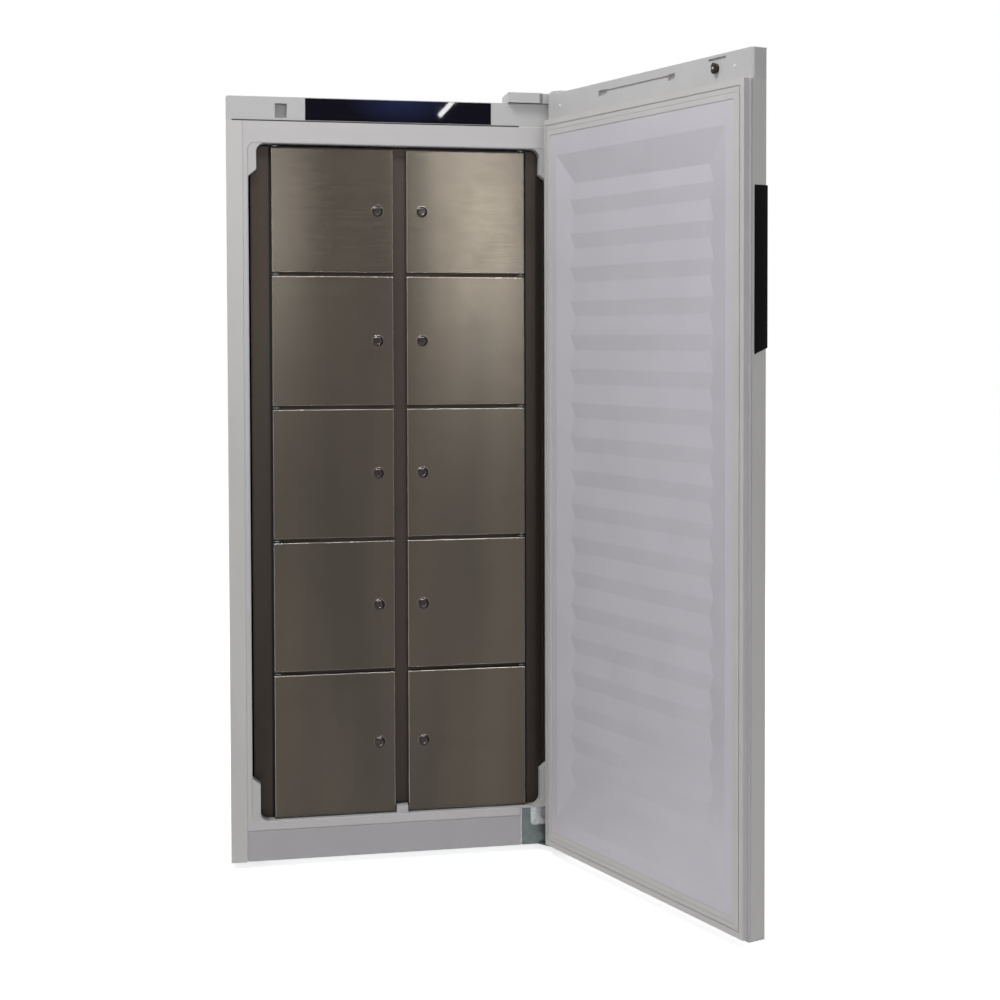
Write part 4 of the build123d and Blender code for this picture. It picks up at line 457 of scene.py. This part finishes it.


# Lockers
# Stainless sheet of 1.2 mm, brushed level along the sheet before folding, with folded edges.
# Its warm dark colour is a painted reflection of a dark room, with broad upright bands of painted
# sheen; fine level grain and finger smudges are its own, and the folds carry a painted highlight.
def brushed_steel(name, dark, light, fold_highlight_colour, roughness, stretch, seed):
    # Real grain lines lie 0.1 mm apart; here 0.4 mm, so that they show.
    grain_per_metre, bands_per_metre = (9.0, 40.0, 2500.0), (8.0, 4.0, 1.1)
    smudges_per_metre, smudged, gloss_spread = 11.0, 0.93, 0.025
    fold_radius, grain_height = 0.0022, 0.00008
    flat_facing, edge_facing, wear_and_highlight_share = 0.995, 0.94, 0.9
    material, shader = finish_of(name)
    tree = material.node_tree
    place = put(tree, "TexCoord")
    along = put(tree, "Mapping", {"Vector": place.outputs["Object"], "Location": (seed, 0, seed),
                                  "Scale": grain_per_metre})
    grain = put(tree, "TexNoise", {"Vector": along.outputs[0], "Scale": 1.0, "Detail": 4.0,
                                   "Roughness": 0.6})
    upright = put(tree, "Mapping", {"Vector": place.outputs["Object"], "Location": (seed, 0, 0),
                                    "Scale": bands_per_metre})
    band = put(tree, "TexNoise", {"Vector": upright.outputs[0], "Scale": 1.0, "Detail": 1.0})
    smudge = put(tree, "TexNoise", {"Vector": place.outputs["Object"], "Scale": smudges_per_metre,
                                    "Detail": 4.0, "Roughness": 0.55, "Distortion": 0.5})
    tone = put(tree, "ValToRGB", {0: band.outputs[0]})
    tone.color_ramp.elements[0].position = 0.34
    tone.color_ramp.elements[0].color = linear(dark)
    tone.color_ramp.elements[1].position = 0.72
    tone.color_ramp.elements[1].color = linear(light)
    lines = put(tree, "MapRange", {0: grain.outputs[0], 1: 0.3, 2: 0.7, 3: 0.97, 4: 1.03})
    grained = put(tree, "VectorMath", {0: tone.outputs[0], 1: lines.outputs[0]}, operation="MULTIPLY")
    hand = put(tree, "MapRange", {0: smudge.outputs[0], 1: 0.52, 2: 0.75, 3: 1.0, 4: smudged})
    touched = put(tree, "VectorMath", {0: grained.outputs[0], 1: hand.outputs[0]},
                  operation="MULTIPLY")
    base_gloss = put(tree, "MapRange", {0: grain.outputs[0], 1: 0.3, 2: 0.7,
                                        3: roughness - gloss_spread, 4: roughness + gloss_spread})
    gloss = put(tree, "Math", {0: base_gloss.outputs[0], 1: hand.outputs[0]}, operation="DIVIDE")
    fold = put(tree, "Bevel", {"Radius": fold_radius}, samples=6)
    surface = put(tree, "NewGeometry")
    facing = put(tree, "VectorMath", {0: fold.outputs[0], 1: surface.outputs["Normal"]},
                 operation="DOT_PRODUCT")
    # Painted highlight along the folds, in a light steel colour.
    fold_mask = put(tree, "MapRange", {0: facing.outputs["Value"], 1: flat_facing, 2: edge_facing, 3: 0.0,
                                    4: wear_and_highlight_share})
    # The painted highlight is faint on a fold that faces down, away from the light above.
    lean = put(tree, "SeparateXYZ", {0: fold.outputs[0]})
    upper = put(tree, "MapRange", {0: lean.outputs[2], 1: -0.25, 2: 0.0, 3: 0.1, 4: 1.0})
    fold_highlight = put(tree, "Math", {0: fold_mask.outputs[0], 1: upper.outputs[0]}, operation="MULTIPLY")
    bright_fold = put(tree, "MixRGB", {0: fold_highlight.outputs[0], 1: touched.outputs[0],
                                       2: linear(fold_highlight_colour)})
    relief = put(tree, "Bump", {"Height": grain.outputs[0], "Strength": 0.5, "Distance": grain_height,
                                "Normal": fold.outputs[0]})
    # The level brushing spreads a reflection upwards and downwards.
    across = put(tree, "CombineXYZ", {0: 0.0, 1: 0.0, 2: 1.0})
    for socket, value in (("Base Color", bright_fold.outputs[0]), ("Roughness", gloss.outputs[0]),
                          ("Normal", relief.outputs[0]), ("Tangent", across.outputs[0])):
        tree.links.new(value, shader.inputs[socket])
    shader.inputs["Anisotropic"].default_value = stretch
    shader.inputs["Metallic"].default_value = 1.0
    return material


both_sides, all_rows = ("left", "right"), range(1, 6)
# The carcass takes a darker copy of the door steel: painted shade for its place deep behind the doors.
dress(["locker_carcass", "locker_divider", "locker_shelves"],
      brushed_steel("carcass_steel", "#2F2A27", "#38332F", "#5A5550", 0.42, 0.4, 3.0))
# The doors' warm dark colour stands in for the reflection of a dark room, and its bands are painted sheen.
door_steel = brushed_steel("locker_door_steel", "#413D37", "#4C463F", "#D0CCC4", 0.195, 0.87, 0.0)
dress([f"locker_door_{side}_{row}" for side in both_sides for row in all_rows], door_steel)

# Gap shade
# A near-black strip on the carcass beside the outer edge of each column of doors: painted shade
# for the dark gap there. It shows as a dark line.
gap_shade_finish = moulded_plastic("gap_shade_black", "#0C0B0B", "#141312", 0.95, 1.2, 0.3)
gap_start, gap_end = 0.2767, 0.2808
gap_front, gap_back = 0.0276, 0.0299
gap_low, gap_high = 0.1035, 1.5575
for name, side in (("left", -1), ("right", 1)):
    left, right = sorted((side * gap_start, side * gap_end))
    shade_strip(f"gap_shade_strip_{name}", (left, gap_front, gap_low), (right, gap_back, gap_high), gap_shade_finish)


# Locker locks
# Zinc die-cast cam locks, polished and chromed, with a steel cam. They mirror what is round
# them, and only fine turning marks and fingerprints break the gloss.
def bright_plating(name, colour, roughness, marks_mm):
    darkest, glossiest, dullest = 0.8, 0.7, 1.6
    corner_radius, mark_height = 0.0005, 0.0002
    material, shader = finish_of(name)
    tree = material.node_tree
    place = put(tree, "TexCoord")
    marks = put(tree, "TexNoise", {"Vector": place.outputs["Object"], "Scale": 1000 / marks_mm,
                                   "Detail": 3.0})
    tone = put(tree, "ValToRGB", {0: marks.outputs[0]})
    tone.color_ramp.elements[0].position = 0.35
    tone.color_ramp.elements[0].color = [c * darkest for c in linear(colour)[:3]] + [1.0]
    tone.color_ramp.elements[1].position = 0.65
    tone.color_ramp.elements[1].color = linear(colour)
    gloss = put(tree, "MapRange", {0: marks.outputs[0], 3: roughness * glossiest,
                                   4: roughness * dullest})
    corner = put(tree, "Bevel", {"Radius": corner_radius}, samples=4)
    relief = put(tree, "Bump", {"Height": marks.outputs[0], "Strength": 0.05, "Distance": mark_height,
                                "Normal": corner.outputs[0]})
    for socket, value in (("Base Color", tone.outputs[0]), ("Roughness", gloss.outputs[0]),
                          ("Normal", relief.outputs[0])):
        tree.links.new(value, shader.inputs[socket])
    shader.inputs["Metallic"].default_value = 1.0
    return material


# Chrome painted dark: its dark grey stands in for the reflection of a dark room round the locks.
dark_chrome = bright_plating("dark_chrome", "#3C3836", 0.10, 3.0)
dress([f"locker_lock_{side}_{row}" for side in both_sides for row in all_rows], dark_chrome)

# Hinges, screws and locker pivots
# Pressed steel plates, turned pins and pan-head screws, all zinc-plated. The plating is cool grey,
# half matt and slightly cloudy.
zinc = bright_plating("zinc_plate", "#626A69", 0.32, 14.0)
dress(["top_hinge", "bottom_hinge", "screws", "locker_pivots"], zinc)


# Lock rims
# A domed rim of chromed brass stands round each locker lock, turned with a step inside and pressed
# over the lock's housing in the door.
def turned(points, centre, axis, steps):
    """A bmesh of a line of points, turned once round an axis."""
    shape = bmesh.new()
    line = [shape.verts.new(point) for point in points]
    edges = [shape.edges.new(pair) for pair in zip(line, line[1:])]
    bmesh.ops.spin(shape, geom=line + edges, cent=centre, axis=axis, angle=math.tau, steps=steps,
                   use_merge=True)
    return shape


# Reach from the lock's axis and height from the door's face, from the foot to the inner step.
rim_profile = ((0.0121, 0.0000), (0.0119, 0.0013), (0.0112, 0.0022), (0.0103, 0.0029), (0.0093, 0.0036),
               (0.0083, 0.0042), (0.0075, 0.0045), (0.0069, 0.0043), (0.0063, 0.0030))
locker_face = 0.014
centre_of = {joint["child"]: Vector(joint["pos_m"]) for joint in frame["joints"]}
for side in both_sides:
    for row in all_rows:
        middle = centre_of[f"locker_lock_{side}_{row}"]
        points = [(middle.x + reach, locker_face - height, middle.z) for reach, height in rim_profile]
        rim = turned(points, middle, (0, 1, 0), 36)
        finished(f"lock_rim_{side}_{row}", rim, dark_chrome, f"locker_door_{side}_{row}")

# Evaporator
# Bare aluminium fins, pressed on aluminium tube between end plates that are fixed to the liner's
# back. They are thin, pale and slightly dull.
dress(["evaporator"], bright_plating("fin_aluminium", "#B9BBBD", 0.34, 4.0))

# Compressor and condenser
# Drawn steel in thick black enamel, which runs smooth over the welds. The compressor stands on
# rubber mounts, and the condenser on the machine room's floor.
dress(["compressor", "condenser"], coated_sheet("black_enamel", "#161616", 3.0, 0.3))

# Compressor mounts
# Blocks of moulded black rubber under the compressor's foot plate, which keep its tremor from the
# floor. They are matt, with corners slightly greyed.
dress(["compressor_mounts"], moulded_plastic("mount_rubber", "#202020", "#2A2A2A", 0.8, 1.0, 0.3))

# Door gasket
# Soft pale grey vinyl, extruded round a magnet strip, welded at the corners and pressed on the rim
# of the door's liner. It has a dull, even skin.
gasket_vinyl = moulded_plastic("gasket_vinyl", "#C2C0BE", "#C8C6C4", 0.5, 1.2, 0.08)
dress(["door_gasket"], gasket_vinyl)

# Gasket lip
# The gasket's inner lip is a soft flap of the same vinyl, which covers the groove round the door's
# raised panel and rests on the panel. Its rounded edge throws a thin shadow along the top.
hinge = Vector(centre_of["door"])
hinge.z = 0.0
opened = math.radians(-next(j["range_deg"][0] for j in frame["joints"] if j["child"] == "door"))
# Brings what is modelled on the closed door to where it is at rest, with the door open.
door_swing = Matrix.Translation(hinge) @ Matrix.Rotation(opened, 4, "Z") @ Matrix.Translation(-hinge)
sealing_face = -0.0004
lip_half, lip_low, lip_high = 0.343, 0.049, 1.597
lip_width, lip_radius = 0.0115, 0.0011
lip_back, lip_front = sealing_face - 0.00145, sealing_face - 0.0001
lip = bmesh.new()
bmesh.ops.create_grid(lip, x_segments=1, y_segments=1, size=1.0)
bmesh.ops.transform(lip, verts=lip.verts,
                    matrix=Matrix.Translation((0, lip_back, (lip_low + lip_high) / 2))
                    @ Matrix.Diagonal((lip_half, 1, (lip_high - lip_low) / 2, 1))
                    @ Matrix.Rotation(math.radians(90), 4, "X"))
bmesh.ops.inset_region(lip, faces=lip.faces[:], thickness=lip_width, use_boundary=True,
                       use_even_offset=True)
panel_side = max(lip.faces, key=lambda face: face.calc_area())
bmesh.ops.delete(lip, geom=[panel_side], context="FACES_ONLY")
front = extruded(lip, lip.faces[:], (0, lip_front - lip_back, 0), use_keep_orig=True)
bmesh.ops.recalc_face_normals(lip, faces=lip.faces[:])
# The front's edges, where a face that looks at the cabinet meets one that doesn't.
front_edges = [e for e in lip.edges if len(e.link_faces) == 2 and all(v in front for v in e.verts)
               and abs(e.link_faces[0].normal.y - e.link_faces[1].normal.y) > 0.5]
round_off(lip, front_edges, lip_radius, 4)
bmesh.ops.transform(lip, verts=lip.verts, matrix=door_swing)
finished("gasket_inner_lip", lip, gasket_vinyl, "door")

# Refrigerant pipes
# Drawn copper tube, bent cold and brazed to the compressor and the condenser. It is warm brown,
# dulled by the brazing heat.
dress(["refrigerant_pipes"], bright_plating("drawn_copper", "#B5714C", 0.3, 6.0))


# Grip
# Extruded black ABS with a satin skin, clipped round the free edge of the door. It has a shallow
# groove for the fingers along its front and a slanted lower end.
def sliced(shape, point, normal, **settings):
    """Cuts a shape at a plane and gives the edges of the cut."""
    cut = bmesh.ops.bisect_plane(shape, geom=shape.verts[:] + shape.edges[:] + shape.faces[:],
                                 dist=1e-6, plane_co=point, plane_no=normal, **settings)
    return [e for e in cut["geom_cut"] if isinstance(e, bmesh.types.BMEdge)]


grip_abs = moulded_plastic("grip_abs", "#060608", "#101012", 0.3, 0.8, 0.05)
grip_shader = next(n for n in grip_abs.node_tree.nodes if n.type == "BSDF_PRINCIPLED")
grip_shader.inputs["Specular IOR Level"].default_value = 0.05
free_edge, outer_face = -0.369, sealing_face - 0.050
grip_low, grip_length, grip_radius = 1.114, 0.312, 0.0009
strip_start, strip_proud, strip_thickness, strip_wrap = 0.022, 0.0024, 0.0012, 0.034
hold_edge, hold_width, hold_depth = 0.008, 0.017, 0.0018
slant_rise, slant_run = 0.012, 0.030
# Edges that turn by more than this, in radians, and lie on the door's free side are rounded.
least_turn = 0.6
front_y = outer_face - strip_proud
section = (
    (free_edge - strip_thickness, sealing_face - strip_start),
    (free_edge, sealing_face - strip_start),
    (free_edge, outer_face),
    (free_edge + strip_wrap, outer_face),
    (free_edge + strip_wrap, front_y),
    (free_edge + strip_wrap - hold_edge, front_y),
    (free_edge + strip_wrap - hold_edge - hold_depth, front_y + hold_depth),
    (free_edge + strip_wrap - hold_width + hold_depth, front_y + hold_depth),
    (free_edge + strip_wrap - hold_width, front_y),
    (free_edge - strip_thickness, front_y),
)
grip = bmesh.new()
outline = grip.faces.new([grip.verts.new((x, y, grip_low)) for x, y in section])
extruded(grip, [outline], (0, 0, grip_length))
rim_edges = sliced(grip, (0, sealing_face - strip_start, grip_low),
                   Vector((0, slant_rise, slant_run)).normalized(), clear_inner=True)
bmesh.ops.edgeloop_fill(grip, edges=rim_edges)
bmesh.ops.recalc_face_normals(grip, faces=grip.faces[:])
corner_edges = [e for e in grip.edges if len(e.link_faces) == 2 and e.calc_face_angle(0) > least_turn
                and min(v.co.x for v in e.verts) < free_edge - strip_thickness / 2]
round_off(grip, corner_edges, grip_radius, 3)
bmesh.ops.transform(grip, verts=grip.verts, matrix=door_swing)
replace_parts(finished("grip_strip", grip, grip_abs, "door"), "door_grip")

# Door top cap
# Moulded grey ABS, snapped over the head of the door. Its inner face has a long slot with a pocket
# at each end, where the mould's slides come out, and a slot over the lock.
cap_low, skin_end, cap_top = 1.620, 1.676, 1.678
cap_face, cap_back, cap_lip = sealing_face - 0.016, sealing_face - 0.049, 0.001
cap_half, cap_corner, cap_radius = -free_edge, 0.008, 0.0009
# Left, right, low, high and depth of each recess, whose walls lean by the draft.
recesses = (
    (-0.119, 0.157, 1.6560, 1.6600, 0.0030),
    (-0.121, -0.098, 1.6495, 1.6615, 0.0070),
    (0.126, 0.159, 1.6495, 1.6615, 0.0070),
    (-0.289, -0.233, 1.6675, 1.6720, 0.0050),
)
draft = 0.0004
# Two places nearer than this count as one, and an edge that turns by more than this many radians
# as a square one.
near, square_turn = 0.0005, 1.2
cap = bmesh.new()
block(cap, (-cap_half, cap_back, cap_low), (cap_half, cap_face, cap_top))
inner_corners = [e for e in cap.edges if abs(e.verts[0].co.z - e.verts[1].co.z) > near
                 and e.verts[0].co.y > cap_face - near]
round_off(cap, inner_corners, cap_corner, 5)
for place in sorted({x for hole in recesses for x in hole[:2]}):
    sliced(cap, (place, 0, 0), (1, 0, 0))
for place in sorted({z for hole in recesses for z in hole[2:4]}) + [skin_end]:
    sliced(cap, (0, 0, place), (0, 0, 1))
lip_faces = [f for f in cap.faces if f.normal.y < -0.9 and f.calc_center_median().z > skin_end]
extruded(cap, lip_faces, (0, -cap_lip, 0))
bmesh.ops.delete(cap, geom=lip_faces, context="FACES_ONLY")
# The pockets come before the long slot, which runs into them.
for left, right, low, high, depth in recesses[1:] + recesses[:1]:
    face_side = [f for f in cap.faces if f.normal.y > 0.99 and f.calc_center_median().y > cap_face - near]
    floor_faces = [f for f in face_side if left < f.calc_center_median().x < right
                   and low < f.calc_center_median().z < high]
    bmesh.ops.inset_region(cap, faces=floor_faces, thickness=draft, depth=-depth, use_even_offset=True)
upper_edges = [e for e in cap.edges if len(e.link_faces) == 2 and e.calc_face_angle(0) > square_turn
               and min(v.co.z for v in e.verts) > cap_top - near]
round_off(cap, upper_edges, cap_radius, 2)
bmesh.ops.transform(cap, verts=cap.verts, matrix=door_swing)
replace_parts(finished("top_cap", cap, grey_plastic, "door"), "door_top_cap")


# Snap pins
# White acetal pins, moulded and pushed through the top cap near each end, to hold it to the door.
# Only their low domes show.
def dome(radius, rise, way):
    """A flattened half ball, standing out along one axis."""
    shape = bmesh.new()
    bmesh.ops.create_uvsphere(shape, u_segments=20, v_segments=10, radius=radius)
    sliced(shape, (0, 0, 0), way, clear_inner=True)
    flatness = [rise / radius if part else 1.0 for part in way]
    bmesh.ops.transform(shape, verts=shape.verts, matrix=Matrix.Diagonal((*flatness, 1)))
    return shape


snap_white = moulded_plastic("white_acetal", "#D2CFCF", "#DEDCDA", 0.3, 0.8, 0.05)
pin_side, pin_height, pin_sink = 0.316, 1.6485, 0.0004
pin_radius, pin_rise = 0.0042, 0.0022
for name, side in (("free", -1), ("hinge", 1)):
    snap = dome(pin_radius, pin_rise, (0, 1, 0))
    place = Matrix.Translation((side * pin_side, cap_face - pin_sink, pin_height))
    bmesh.ops.transform(snap, verts=snap.verts, matrix=door_swing @ place)
    finished(f"snap_pin_{name}", snap, snap_white, "door")

# Door lock
# A chromed die-cast collar stands in the top cap, and a flat steel cam turns in front of it, held
# by a bright screw. The cam's short finger enters the cabinet's keeper.
lock_side, lock_height = 0.258, 1.652
# Reach from the lock's axis and height from the cap's face.
collar_profile = ((0.0062, 0.0000), (0.0062, 0.0044), (0.0070, 0.0052), (0.0084, 0.0052),
                  (0.0093, 0.0042), (0.0093, 0.0000))
cam_back, cam_front = 0.0056, 0.0082
cam_half, cam_reach, cam_radius = 0.0068, 0.0038, 0.0006
finger_half, finger_back, finger_length, finger_radius = 0.0022, 0.0010, 0.0040, 0.0007
screw_radius, screw_rise = 0.0024, 0.0012


def to_lock(height=0.0):
    """The lock's place: its own Z runs out of the cap's face, by the height from the face."""
    return (door_swing @ Matrix.Translation((-lock_side, cap_face + height, lock_height))
            @ Matrix.Rotation(math.radians(-90), 4, "X"))


collar = turned([(reach, 0, height) for reach, height in collar_profile], (0, 0, 0), (0, 0, 1), 40)
bmesh.ops.transform(collar, verts=collar.verts, matrix=to_lock())
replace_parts(finished("lock_collar", collar, dark_chrome, "door"), "door_lock")

# The cam's outline is two half rounds joined by straight sides.
cam = bmesh.new()
ring = []
for middle, first in ((cam_reach, 0), (-cam_reach, 180)):
    for turn in range(first, first + 181, 15):
        across, along = math.cos(math.radians(turn)), math.sin(math.radians(turn))
        ring.append(cam.verts.new((cam_half * across, middle + cam_half * along, 0)))
plate = cam.faces.new(ring)
extruded(cam, [plate], (0, 0, cam_front - cam_back))
bmesh.ops.recalc_face_normals(cam, faces=cam.faces[:])
cam_edges = [e for e in cam.edges if len(e.link_faces) == 2 and e.calc_face_angle(0) > square_turn]
round_off(cam, cam_edges, cam_radius, 3)
finger_middle = cam_reach + cam_half - 2 * finger_half
finger = block(cam, (-finger_half, finger_middle - finger_half, finger_back),
               (finger_half, finger_middle + finger_half, finger_back + finger_length))
finger_edges = [e for e in cam.edges if e.verts[0] in finger]
round_off(cam, finger_edges, finger_radius, 3)
bmesh.ops.transform(cam, verts=cam.verts, matrix=to_lock(cam_back))
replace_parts(finished("lock_cam", cam, dark_chrome, "door_hook"), "door_hook")

# The screw's polished head mirrors the white room, so it takes the snap pins' white.
screw = dome(screw_radius, screw_rise, (0, 0, 1))
bmesh.ops.transform(screw, verts=screw.verts, matrix=to_lock(cam_front))
finished("lock_screw", screw, snap_white, "door_hook")
